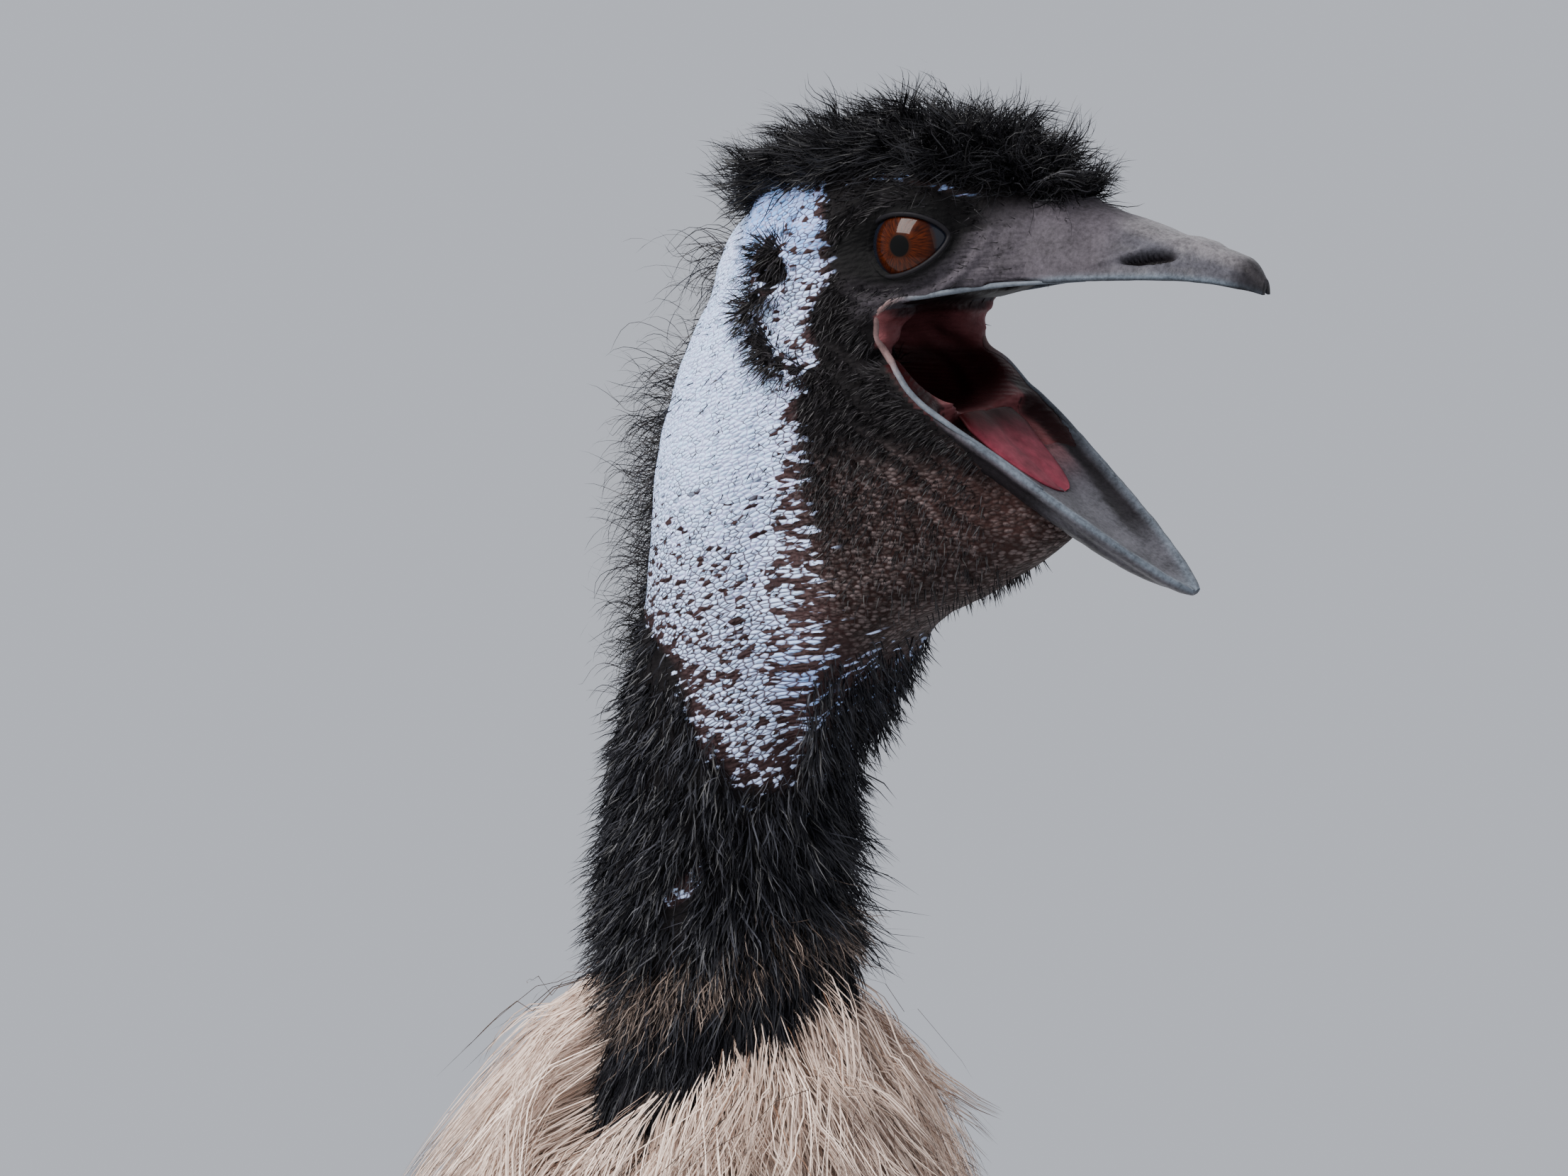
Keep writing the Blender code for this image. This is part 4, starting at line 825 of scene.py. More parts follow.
for label, side in (("left", 1), ("right", -1)):
    centre = between_eyes + (0.0, side * eye_out, 0.0)
    bm = bmesh.new()
    stand = Matrix.Translation(centre) @ Matrix.Rotation(math.radians(-90 * side), 4, "X")
    bmesh.ops.create_uvsphere(bm, u_segments=64, v_segments=48, radius=eye_radius - 0.0001,
                              matrix=stand)
    gaze = Vector((math.sin(-iris_turn), side * math.cos(iris_turn), 0.0))
    for vertex in bm.verts:
        out = (vertex.co - Vector(centre)).normalized()
        vertex.co += out * cornea_rise * max(0.0, (out.dot(gaze) - 0.74) / 0.26)
    iris_map = bm.loops.layers.uv.new("iris")
    for face in bm.faces:
        for corner in face.loops:
            off = corner.vert.co - Vector(centre)
            corner[iris_map].uv = (off.x + math.sin(iris_turn) * eye_radius, off.z)
    globe = new_piece(f"eye_globe_{label}", bm)
    globe.data.materials.append(eye_look)
    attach(globe, "root")
    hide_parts(f"eye_{label}")

    bm = bmesh.new()
    rim = []
    for turn in np.linspace(0, 2 * math.pi, 72, endpoint=False):
        along_rim = math.cos(turn) * opening_half * 0.985
        up_rim = math.copysign(abs(math.sin(turn)) ** 1.18, math.sin(turn))
        up_rim *= (opening_up if up_rim > 0 else opening_down) * 0.985
        x_rim = along_rim * math.cos(opening_tilt) - up_rim * math.sin(opening_tilt) + opening_middle
        z_rim = along_rim * math.sin(opening_tilt) + up_rim * math.cos(opening_tilt)
        flat_reach = min(0.985, math.hypot(x_rim, z_rim) / (eye_radius + 0.0006))
        out = (eye_radius + 0.0006) * math.sqrt(1 - flat_reach ** 2)
        rim.append(centre + (x_rim, side * out, z_rim))
    swept(bm, rim, 0.00068, 8, closed=True)
    bmesh.ops.recalc_face_normals(bm, faces=bm.faces)
    lid_rim = new_piece(f"lid_rim_{label}", bm)
    lid_rim.data.materials.append(rim_look)
    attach(lid_rim, "root")

# Bill. Two sheaths of dark grey horn over bone, matt and grainy at the root and smooth and slightly
# glossy towards the tip. They grow from the skin of the face, and their cutting edges run back as
# pale lips of horn to the corner of the gape.
horn_look, tree, shader = new_material("bill_horn")
root_share = painted(tree, "root")
horn_tint = mixed(tree, root_share, (0.048, 0.047, 0.056, 1), bare_grey_skin)
# The pale edge of the horn is partly its own paler colour and partly a painted highlight along the cutting edge.
horn_tint = mixed(tree, painted(tree, "edge"), horn_tint, (0.078, 0.094, 0.116, 1))
horn_tint = mixed(tree, painted(tree, "flush"), horn_tint, mouth_pink)
# Painted shade: the inner side and underside of the horn are made near-black where they lie in shade.
horn_tint = mixed(tree, painted(tree, "inside"), horn_tint, (0.006, 0.005, 0.006, 1))
# Painted highlight: a lighter streak along the ridge of the upper bill.
horn_tint = mixed(tree, painted(tree, "culmen_highlight"), horn_tint, (0.120, 0.112, 0.120, 1))
# The pit colour is painted shade in the nostril slot. Elsewhere it is the dark nail, the dark skin over the root of the
# lower bill and that bill's darker underside.
horn_tint = mixed(tree, painted(tree, "pit"), horn_tint, (0.004, 0.003, 0.004, 1))
horn_colour, horn_height = grained(tree, horn_tint, 900.0, 3.0)
horn_bump = node(tree, "Bump", {"Strength": 0.5, "Distance": 0.0005, "Height": horn_height}).outputs[0]
horn_rough = mixed(tree, root_share, (0.40, 0.40, 0.40, 1), (0.66, 0.66, 0.66, 1))
linked(tree, shader, Base_Color=horn_colour, Normal=horn_bump, Roughness=horn_rough)
shader.inputs["Specular IOR Level"].default_value = 0.07


def sheath_ring(frame_at, half_width, out, hollow, rim):
    """A ring of one half of the bill: its outer arc, then its rims and the hollow between them."""
    points = []
    for turn in np.linspace(0, math.pi, 65):
        side = math.copysign(abs(math.cos(turn)) ** 0.95, math.cos(turn)) * half_width
        points.append(frame_at(side, math.sin(turn) ** 1.05 * out))
    inner = max(half_width - rim, half_width * 0.35)
    for side in np.linspace(-inner, inner, 23):
        sunk = hollow * math.sqrt(max(0.0, 1 - (side / inner) ** 2))
        points.append(frame_at(side, sunk * 0.9))
    return points


upper_rings = []
for x, top, bottom, half_width, widest, power in smoothed(skull_sections, 261):
    if x > 0.026:
        shown = smooth_step(0.026, 0.040, x)
        grow = 0.0016 * shown - 0.0013
        lifted = 0.0016 * (1 - shown)
        upper_rings.append(sheath_ring(
            lambda side, out: between_eyes + (x, side, bottom + lifted + out), half_width + grow,
            (top - bottom) + grow - lifted, min(0.0040, (top - bottom) * 0.45), 0.0022))
upper_horn = loft("upper_bill", upper_rings)
lower_rings = []
for distance, half_width, depth in smoothed(jaw_sections, 241):
    if distance > 0.006:
        shown = smooth_step(0.006, 0.024, distance)
        grow = 0.0016 * shown - 0.0013
        sunk = 0.0018 * (1 - shown) - 0.0006
        trough_depth = between(distance, (0.006, 0.014, 0.022, 0.030, 0.050, 0.066, 0.077),
                               (0.0110, 0.0088, 0.0056, 0.0054, 0.0046, 0.0028, 0.0006))
        lower_rings.append(sheath_ring(
            lambda side, out: on_jaw(distance, out + sunk, side), half_width + grow, depth + grow,
            trough_depth, 0.0017))
lower_horn = loft("lower_bill", lower_rings)

seen = seen_from_eyes(places := read_places(upper_horn))
x, y, z = seen.T
normals = read_normals(upper_horn)
upper_bottom = np.interp(x, [row[0] for row in skull_sections], [row[2] for row in skull_sections])
upper_top = np.interp(x, [row[0] for row in skull_sections], [row[1] for row in skull_sections])
off_top = (upper_top - z)
outer = smooth_step(-0.2, 0.1, normals[:, 2]) + smooth_step(0.3, 0.7, abs(normals[:, 1]))
outer = np.clip(outer, 0, 1)
slot_lean = 0.16
slot_x, slot_z = 0.0605, -0.0020
slot_along = (x - slot_x) * math.cos(slot_lean) + (z - slot_z) * math.sin(slot_lean)
slot_up = (z - slot_z) * math.cos(slot_lean) - (x - slot_x) * math.sin(slot_lean)
slot_tall = between(slot_along, (-0.007, 0.001, 0.007), (0.0010, 0.0018, 0.0019))
slot = np.sqrt((slot_along / 0.0070) ** 2 + (slot_up / slot_tall) ** 2)
rise = -0.0030 * smooth_step(1.10, 0.60, slot) * outer
rise += 0.0007 * bump(slot, 1.60, 0.40) * outer * smooth_step(-0.001, 0.001, slot_up)
groove_down = between(x, (0.040, 0.055, 0.070, 0.082), (0.0085, 0.0060, 0.0035, 0.0016))
rise -= 0.0006 * bump(off_top, groove_down, 0.0011) * smooth_step(0.040, 0.055, x) * outer
rise += 0.0004 * bump(off_top, 0.0, 0.0016) * outer
rise += 0.0005 * bump(z - upper_bottom, 0.0004, 0.0012) * outer
rise += noise_at(places, 0.006, 5) * 0.00022 + noise_at(places, 0.0022, 6) * 0.00008
rise *= smooth_step(0.0859, 0.0800, x)
places += normals * rise[:, None]
upper_horn.data.vertices.foreach_set("co", places.reshape(-1))
# Painted shade: the horn's inner side and its faces turned down are marked to be made near-black.
shaded_inner_side = smooth_step(0.0, -0.35, normals[:, 2]) * smooth_step(0.0012, 0.0030, y * 0 + z - upper_bottom)
paint(upper_horn, "inside", np.clip(shaded_inner_side + smooth_step(-0.5, -0.8, normals[:, 2]), 0, 1))
# Pale cutting edge: partly the horn's own colour, partly a painted highlight.
paint(upper_horn, "edge", bump(z - upper_bottom, 0.0003, 0.0009) * outer)
paint(upper_horn, "flush", np.zeros(len(places)))
# Painted highlight along the ridge of the upper bill.
paint(upper_horn, "culmen_highlight", smooth_step(0.0030, 0.0004, off_top) * smooth_step(0.046, 0.056, x) * 0.7)
paint(upper_horn, "root", smooth_step(0.060, 0.046, x))
nail = smooth_step(0.0785, 0.0835, x + (upper_top - z) * 0.25) * 0.8
# Painted shade: the nostril slot is made near-black where it dips. The nail is the bill's own dark tip.
paint(upper_horn, "pit", np.maximum(smooth_step(1.02, 0.70, slot) * outer, nail))

places = read_places(lower_horn)
normals = read_normals(lower_horn)
from_jaw = places - between_eyes - jaw_start
distance = from_jaw @ np.array((math.cos(jaw_turn), 0.0, math.sin(jaw_turn)))
depth_in = from_jaw @ np.array((math.sin(jaw_turn), 0.0, -math.cos(jaw_turn)))
away = normals @ np.array((math.sin(jaw_turn), 0.0, -math.cos(jaw_turn)))
outer = smooth_step(-0.2, 0.15, away + abs(normals[:, 1]) * np.sign(normals[:, 1] * places[:, 1]) * 0.8)
rise = 0.0004 * bump(depth_in, 0.0006, 0.0012) * outer
rise -= 0.0004 * bump(depth_in, 0.0036, 0.0010) * outer
rise += noise_at(places, 0.006, 7) * 0.00022 + noise_at(places, 0.0022, 8) * 0.00008
places += normals * rise[:, None]
lower_horn.data.vertices.foreach_set("co", places.reshape(-1))
side_in = abs(places[:, 1])
wall_top = between(distance, (0.0, 0.010, 0.022, 0.036, 0.045, 0.056),
                   (0.0205, 0.0195, 0.0178, 0.0133, 0.0092, 0.0060))
# Painted shade: the inner wall of the lower bill towards its root is marked to be made near-black.
shaded_ramus_wall = smooth_step(0.0000, 0.0008, depth_in) * (1 - outer) * smooth_step(-0.0008, 0.0008, side_in - wall_top)
paint(lower_horn, "inside", shaded_ramus_wall * smooth_step(0.064, 0.048, distance) * 0.9)
# Pale rim of the lower bill: partly the horn's own colour, partly a painted highlight.
paint(lower_horn, "edge", bump(depth_in, -0.0003, 0.0007) * 0.9)
paint(lower_horn, "culmen_highlight", np.zeros(len(places)))
paint(lower_horn, "root", smooth_step(0.042, 0.028, distance))
paint(lower_horn, "flush", smooth_step(0.034, 0.018, distance) * (1 - outer) * 0.55
      * smooth_step(0.0010, -0.0010, side_in - wall_top))
skin_over = smooth_step(0.056, 0.034, distance + depth_in * 0.5) * smooth_step(0.0008, 0.0022, depth_in)
keel = smooth_step(0.0030, 0.0060, depth_in) * 0.55
paint(lower_horn, "pit", outer * np.maximum(skin_over * 0.92, keel))
for piece, kept in ((upper_horn, "bill_upper"), (lower_horn, "bill_lower")):
    piece.data.materials.append(horn_look)
    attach(piece, "root")
    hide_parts(kept)

# Lips of horn that run back from each half of the bill and meet round the corner of the gape
lip_look, tree, shader = new_material("bill_lip")
lip_tint = mixed(tree, painted(tree, "pale"), (0.070, 0.080, 0.097, 1), (0.120, 0.070, 0.066, 1))
lip_colour, lip_height = grained(tree, lip_tint, 700.0, 2.2)
linked(tree, shader, Base_Color=lip_colour)
shader.inputs["Roughness"].default_value = 0.5
shader.inputs["Specular IOR Level"].default_value = 0.10
lip_bend = ((0.0460, -0.0078), (0.0233, -0.0094), (0.0054, -0.0124), (-0.0046, -0.0142),
            (-0.0084, -0.0200), (-0.0075, -0.0258), (-0.0016, -0.0318))
lip_bend += tuple((place[0], place[2]) for place in
                  (on_jaw(distance, depth) - between_eyes for distance, depth in
                   ((0.0, 0.0006), (0.010, 0.0002), (0.022, -0.0004), (0.038, -0.0006))))
lip_line = smoothed(lip_bend, 140)
lip_size = between(np.linspace(0, 1, 140), (0, 0.10, 0.40, 0.55, 0.75, 1.0),
                   (0.0003, 0.00072, 0.0008, 0.0010, 0.0008, 0.0003))
hide_surface = BVHTree.FromObject(hide, bpy.context.evaluated_depsgraph_get())
mouth_middle = np.array((0.014, -0.026))
for label, side in (("left", 1), ("right", -1)):
    path = []
    for x, z in lip_line:
        expected = between(x, (-0.008, 0.002, 0.014, 0.026, 0.041, 0.054),
                           (0.0289, 0.0284, 0.0256, 0.0226, 0.0188, 0.0164))
        if z < -0.030 and x > 0.006:
            distance = (x - jaw_start[0]) / math.cos(jaw_turn)
            wide = between(distance, [row[0] for row in jaw_sections], [row[1] for row in jaw_sections])
            path.append(between_eyes + (x, side * (wide - 0.0004), z))
            continue
        back = np.array((x, z)) - mouth_middle
        back /= np.linalg.norm(back)
        for further in np.arange(0.0, 0.0020 if z < -0.0145 else 0.0003, 0.0003):
            near_x, near_z = np.array((x, z)) + back * further
            origin = Vector(between_eyes + (near_x, side * head_half_width, near_z))
            hit, _, _, _ = hide_surface.ray_cast(origin, Vector((0.0, -side, 0.0)), head_half_width)
            if hit and abs(hit.y) > expected - 0.0065:
                break
        wide = abs(hit.y) if hit else expected
        path.append(between_eyes + (near_x, side * max(min(wide, expected + 0.001), expected - 0.0040),
                                    near_z))
    path = np.array(path)
    for turn in range(8):
        path[1:-1] = (path[:-2] + path[1:-1] * 2 + path[2:]) / 4
    bm = bmesh.new()
    swept(bm, path - (0.0, side * 0.0006, 0.0), lip_size, 10)
    bmesh.ops.recalc_face_normals(bm, faces=bm.faces)
    lips = new_piece(f"bill_lips_{label}", bm)
    x, y, z = seen_from_eyes(read_places(lips)).T
    paint(lips, "pale", smooth_step(0.004, -0.006, x) * smooth_step(-0.036, -0.028, z) * 0.85)
    lips.data.materials.append(lip_look)
    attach(lips, "root")

# Tongue. It is a short fleshy leaf with a rounded tip that lies in the floor of the bill.
tongue_rings = []
for part in np.linspace(0, 1, 61):
    distance = 0.0060 + 0.0300 * part
    half_width = 0.0150 * (1 - part) ** 0.45 * (0.86 + 0.14 * smooth_step(0.0, 0.2, part)) + 0.0004
    thick = 0.0017 * (1 - part) ** 0.35 + 0.0003
    ring = []
    for turn in np.linspace(0, 2 * math.pi, 28, endpoint=False):
        across, over = math.cos(turn), math.sin(turn)
        cupped = 0.0010 * across ** 2 - 0.0005 * bump(across, 0.0, 0.16) * (over > 0)
        lying = 0.0046 - 0.0010 * smooth_step(0.5, 0.0, part)
        ring.append(on_jaw(distance, lying - thick * over - cupped, half_width * across))
    tongue_rings.append(ring)
tongue = loft("tongue_leaf", tongue_rings)
tongue_look, tree, shader = new_material("tongue")
tongue_tint = mixed(tree, painted(tree, "deep"), (0.115, 0.022, 0.034, 1), mouth_dark)
tongue_colour, tongue_height = grained(tree, tongue_tint, 300.0, 2.2)
tongue_bump = node(tree, "Bump", {"Strength": 0.4, "Distance": 0.0004, "Height": tongue_height}).outputs[0]
linked(tree, shader, Base_Color=tongue_colour, Normal=tongue_bump)
shader.inputs["Roughness"].default_value = 0.5
shader.inputs["Specular IOR Level"].default_value = 0.03
tongue.data.materials.append(tongue_look)
tongue_along = (read_places(tongue) - between_eyes - jaw_start) @ (math.cos(jaw_turn), 0.0, math.sin(jaw_turn))
paint(tongue, "deep", smooth_step(0.020, 0.007, tongue_along))
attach(tongue, "root")
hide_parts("tongue")

# Legs. Below the feathered thighs they are bare bone and sinew in horny skin: broad plates down the
# front and over the toes, small round scales elsewhere, and three toes with blunt dark claws.
foot_joint = np.array((-0.075, 0.112, 0.036))
middle_toe, side_toe, toe_spread = 0.165, 0.112, 29.0
claw_length = 0.034
scute_count = 26
leg_look, tree, shader = new_material("leg_skin")
leg_place = node(tree, "TexCoord").outputs["Object"]
scales = node(tree, "TexVoronoi", {"Vector": leg_place, "Scale": 260.0, "Randomness": 0.8},
              feature="DISTANCE_TO_EDGE").outputs["Distance"]
in_gap = spread(tree, scales, 0.16, 0.02)
leg_tint = mixed(tree, painted(tree, "plate"), (0.085, 0.076, 0.070, 1), (0.155, 0.140, 0.128, 1))
leg_tint, leg_height = grained(tree, leg_tint, 160.0, 1.8)
on_scales = sum_of(tree, "SUBTRACT", 1.0, painted(tree, "plate"))
gap_share = sum_of(tree, "MULTIPLY", in_gap, on_scales)
leg_colour = mixed(tree, gap_share, leg_tint, (0.022, 0.019, 0.018, 1))
leg_relief = sum_of(tree, "SUBTRACT", sum_of(tree, "MULTIPLY", leg_height, 0.3), gap_share)
leg_bump = node(tree, "Bump", {"Strength": 0.7, "Distance": 0.0007, "Height": leg_relief}).outputs[0]
linked(tree, shader, Base_Color=leg_colour, Normal=leg_bump)
shader.inputs["Roughness"].default_value = 0.5
claw_look, tree, shader = new_material("claw")
claw_colour, claw_height = grained(tree, (0.030, 0.027, 0.025, 1), 300.0, 1.5)
linked(tree, shader, Base_Color=claw_colour)
shader.inputs["Roughness"].default_value = 0.38


def plated(part, count):
    """How far a plate lifts at this share of the way along a row of plates that overlap."""
    step = part * count % 1.0
    return smooth_step(0.0, 0.75, step) * smooth_step(1.0, 0.94, step)


def toe_frame(side, spread):
    turn = math.radians(spread)
    base = bird_origin + foot_joint * (1, side, 0)
    return base, np.array((math.cos(turn), math.sin(turn), 0.0)), np.array((-math.sin(turn),
                                                                         math.cos(turn), 0.0))


for label, side in (("left", 1), ("right", -1)):
    top, bottom = (bird_origin + place * (1, side, 1) for place in (hock, foot_joint))
    heading = math.degrees(math.atan2(bottom[2] - top[2], bottom[0] - top[0]))
    rows = ((-0.110, 0.020, 0.020, 0.019), (-0.055, 0.023, 0.026, 0.023),
            (-0.005, 0.027, 0.031, 0.026), (0.045, 0.024, 0.027, 0.023),
            (0.100, 0.0182, 0.0212, 0.0166), (0.300, 0.0166, 0.0196, 0.0150),
            (0.500, 0.0161, 0.0192, 0.0145), (0.700, 0.0166, 0.0196, 0.0150),
            (0.900, 0.0190, 0.0215, 0.0172), (0.960, 0.0225, 0.0245, 0.0215),
            (1.000, 0.024, 0.026, 0.024))
    rings = []
    for part, front, back, half_width in smoothed(rows, 241):
        ring = oval(top + (bottom - top) * part, heading, half_width, front, back, 36)
        around = np.linspace(0, 2 * math.pi, 36, endpoint=False)
        facing = smooth_step(0.45, 0.80, np.sin(around))
        lift = plated((part - 0.05) / 0.93, scute_count) * 0.0011 * facing * (0.03 < part < 0.985)
        middle = ring.mean(0)
        outward = ring - middle
        outward /= np.linalg.norm(outward, axis=1)[:, None]
        rings.append(ring + outward * np.atleast_1d(lift)[:, None])
    leg = loft(f"leg_{label}", rings)
    pad_rows = ((0.0, 0.022, 0.024, 0.022), (0.006, 0.027, 0.030, 0.028),
                (0.020, 0.029, 0.031, 0.031), (0.036, 0.026, 0.027, 0.028),
                (0.050, 0.020, 0.021, 0.022))
    pad_rings = [oval(bottom * (1, 1, 0) + (0, 0, bird_origin[2] + z), 90, half_width, back, front, 36)
                 for z, half_width, front, back in smoothed(pad_rows, 17)]
    parts = [loft("pad", pad_rings)]
    toes = (("inner", -toe_spread * side, side_toe), ("middle", 0.0, middle_toe),
            ("outer", toe_spread * side, side_toe * 1.05))
    for place, turned, length in toes:
        base, ahead, across = toe_frame(side, turned)
        size = 0.75 + 0.25 * length / middle_toe
        toe_rings = []
        for part in np.linspace(0, 1, 121):
            half_width = size * (0.0165 - 0.0050 * part + 0.0012 * math.cos(part * 9.4))
            height = size * (0.0270 - 0.0105 * part + 0.0010 * math.cos(part * 9.4))
            ring = []
            for turn in np.linspace(-0.62, math.pi + 0.62, 30):
                over = math.sin(turn)
                lift = 0.0010 * plated(part, 16) * smooth_step(0.55, 0.85, over)
                rise = max(0.0, height * 0.42 + over * (height * 0.58 + lift))
                ring.append(base + ahead * (0.006 + (length - 0.006) * part)
                            + across * math.cos(turn) * half_width + (0, 0, rise))
            toe_rings.append(ring)
        parts.append(loft("toe", toe_rings))
        claw_rings = []
        claw_rows = ((-0.15, 0.0080, 0.0014, 0.0150), (0.0, 0.0082, 0.0014, 0.0150),
                     (0.3, 0.0072, 0.0004, 0.0138), (0.65, 0.0050, 0.0, 0.0098),
                     (0.9, 0.0027, 0.0, 0.0048), (1.0, 0.0012, 0.0, 0.0018))
        for part, half_width, low, high in smoothed(claw_rows, 41):
            middle, reach = (low + high) / 2, (high - low) / 2
            ring = [base + ahead * (length + claw_length * part) + across * a + (0, 0, middle + h)
                    for a, h in zip(np.cos(np.linspace(0, 2 * math.pi, 24, endpoint=False)) * half_width,
                                    np.sin(np.linspace(0, 2 * math.pi, 24, endpoint=False)) * reach)]
            claw_rings.append(ring)
        claw = loft(f"horn_claw_{place}_{label}", claw_rings)
        claw.data.materials.append(claw_look)
        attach(claw, "root")
        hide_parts(f"claw_{place}_{label}")
    fused(leg, parts, "UNION")
    leg.data.shade_smooth()
    places, normals = read_places(leg), read_normals(leg)
    on_top = normals @ np.array((0.75, 0.0, 0.66))
    paint(leg, "plate", smooth_step(0.55, 0.80, on_top))
    leg.data.materials.clear()
    leg.data.materials.append(leg_look)
    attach(leg, "root")
    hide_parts(f"shank_{label}", *(f"toe_{place}_{label}" for place, _, _ in toes))

# Coat. Emu feathers have no hooked barbs, so they part into hair: short black bristles on the face,
# a shaggy crest, wispy curls down the nape, black fuzz on the lower neck, a pale silky ruff where
# the neck leaves the body, and long, loose, brown feathers that hang from a parting on the back.
# Each strand grows from a point of the hide and keeps close over it in the way that the coat lies.
rng = np.random.default_rng(11)
hide_mesh = hide.data
hide_mesh.calc_loop_triangles()
hide_corners = read_places(hide)
hide_normals = read_normals(hide)
hide_faces = np.empty(len(hide_mesh.loop_triangles) * 3, np.int32)
hide_mesh.loop_triangles.foreach_get("vertices", hide_faces)
hide_faces = hide_faces.reshape(-1, 3)
sides_of = hide_corners[hide_faces]
face_area = np.linalg.norm(np.cross(sides_of[:, 1] - sides_of[:, 0], sides_of[:, 2] - sides_of[:, 0]),
                           axis=1) / 2
hide_tree = BVHTree.FromPolygons(hide_corners.tolist(), hide_faces.tolist())

# The middle line of the bird from tail to brow, which the coat's own flat map follows
middle_line = [bird_origin + (x, 0.0, z) for x, z, *_ in trunk_sections[:-1]]
middle_line += [between_eyes + (x, 0.0, z) for x, z in
                ((-0.072, -0.19), (-0.067, -0.13), (-0.060, -0.09), (-0.055, -0.06), (-0.040, -0.02),
                 (-0.010, 0.0), (0.030, 0.0))]
middle_line = smoothed(middle_line, 160)
line_ahead = np.gradient(middle_line, axis=0)
line_ahead /= np.linalg.norm(line_ahead, axis=1)[:, None]


def flat_map(roots):
    """Where each root lies on an unwrap of the hide: along its middle line, and round it."""
    found = np.empty((len(roots), 2))
    for first in range(0, len(roots), 4000):
        part = roots[first:first + 4000]
        apart = np.linalg.norm(part[:, None] - middle_line[None], axis=2)
        nearest = apart.argmin(1)
        off = part - middle_line[nearest]
        ahead = line_ahead[nearest]
        rise = np.column_stack((-ahead[:, 2], np.zeros(len(ahead)), ahead[:, 0]))
        found[first:first + 4000, 0] = np.arctan2(off[:, 1], (off * rise).sum(1)) / (2 * math.pi) + 0.5
        found[first:first + 4000, 1] = nearest / len(middle_line)
    on_leg = roots[:, 2] < bird_origin[2] + 0.62
    if on_leg.any():
        side = np.sign(roots[on_leg, 1])
        axis = bird_origin + (hip + hock) / 2 * np.column_stack((side * 0 + 1, side, side * 0 + 1))
        off = roots[on_leg] - axis
        turn = np.arctan2(off[:, 1], off[:, 0]) / (2 * math.pi) + 0.5
        found[on_leg, 0] = turn * 0.48 + np.where(side > 0, 0.0, 0.5)
        found[on_leg, 1] = 0.02 + 0.0 * turn + (roots[on_leg, 2] - bird_origin[2] - 0.40) * 0.4
        found[~on_leg, 1] = 0.12 + found[~on_leg, 1] * 0.86
    else:
        found[:, 1] = 0.12 + found[:, 1] * 0.86
    return found * 0.99


def scattered(count, share_of):
    """Random roots on the hide where share_of says that the coat grows, with their normals."""
    centres = sides_of.mean(1)
    weight = face_area * np.clip(share_of(centres, hide_normals[hide_faces[:, 0]]), 0, None)
    chosen = rng.choice(len(weight), count, p=weight / weight.sum())
    a, b = rng.random(count), rng.random(count)
    a, b = np.where(a + b > 1, 1 - a, a), np.where(a + b > 1, 1 - b, b)
    corner = sides_of[chosen]
    roots = corner[:, 0] + (corner[:, 1] - corner[:, 0]) * a[:, None] + (corner[:, 2] - corner[:, 0]) * b[:, None]
    normal = hide_normals[hide_faces[chosen]].mean(1)
    return roots, normal / np.linalg.norm(normal, axis=1)[:, None]


def laid(roots, normals, way_of, length, height, steps, wander=0.15, sunk=0.001, rush=0.75):
    """Paths that start in the hide and run over it in its lie, at a growing height above it."""
    paths = [roots - normals * sunk]
    place, outward = roots, normals
    stray = rng.normal(0, wander, roots.shape)
    for step in range(1, steps + 1):
        way = way_of(place) + stray
        way = unit(way - outward * (way * outward).sum(1)[:, None])
        place = place + way * (length / steps)[:, None]
        for row in range(len(place)):
            found, normal, _, _ = hide_tree.find_nearest(place[row])
            place[row] = found
            outward[row] = normal
        rise = height * (step / steps) ** rush
        paths.append(place + outward * rise[:, None])
    return np.stack(paths, 1)


def freed(roots, normals, ways, length, lift, steps, fall=0.0, curl=0.0, sunk=0.001):
    """Paths that leave the hide at an angle and bend freely, with a curl if they have one."""
    ahead = unit(ways * np.cos(lift)[:, None] + normals * np.sin(lift)[:, None])
    side = unit(np.cross(ahead, normals))
    up = np.cross(side, ahead)
    spin = rng.uniform(0, 2 * math.pi, len(roots))
    tight = rng.uniform(0.6, 1.4, len(roots))
    paths = []
    for step in range(steps + 1):
        part = step / steps
        place = roots - normals * sunk * (1 - part) + ahead * (length * part)[:, None]
        place[:, 2] -= fall * length * part ** 2
        angle = spin + part * 5.0 * tight
        swing = (np.cos(angle) - np.cos(spin))[:, None] * side + (np.sin(angle) - np.sin(spin))[:, None] * up
        paths.append(place + swing * (curl * length * part)[:, None])
    return np.stack(paths, 1)


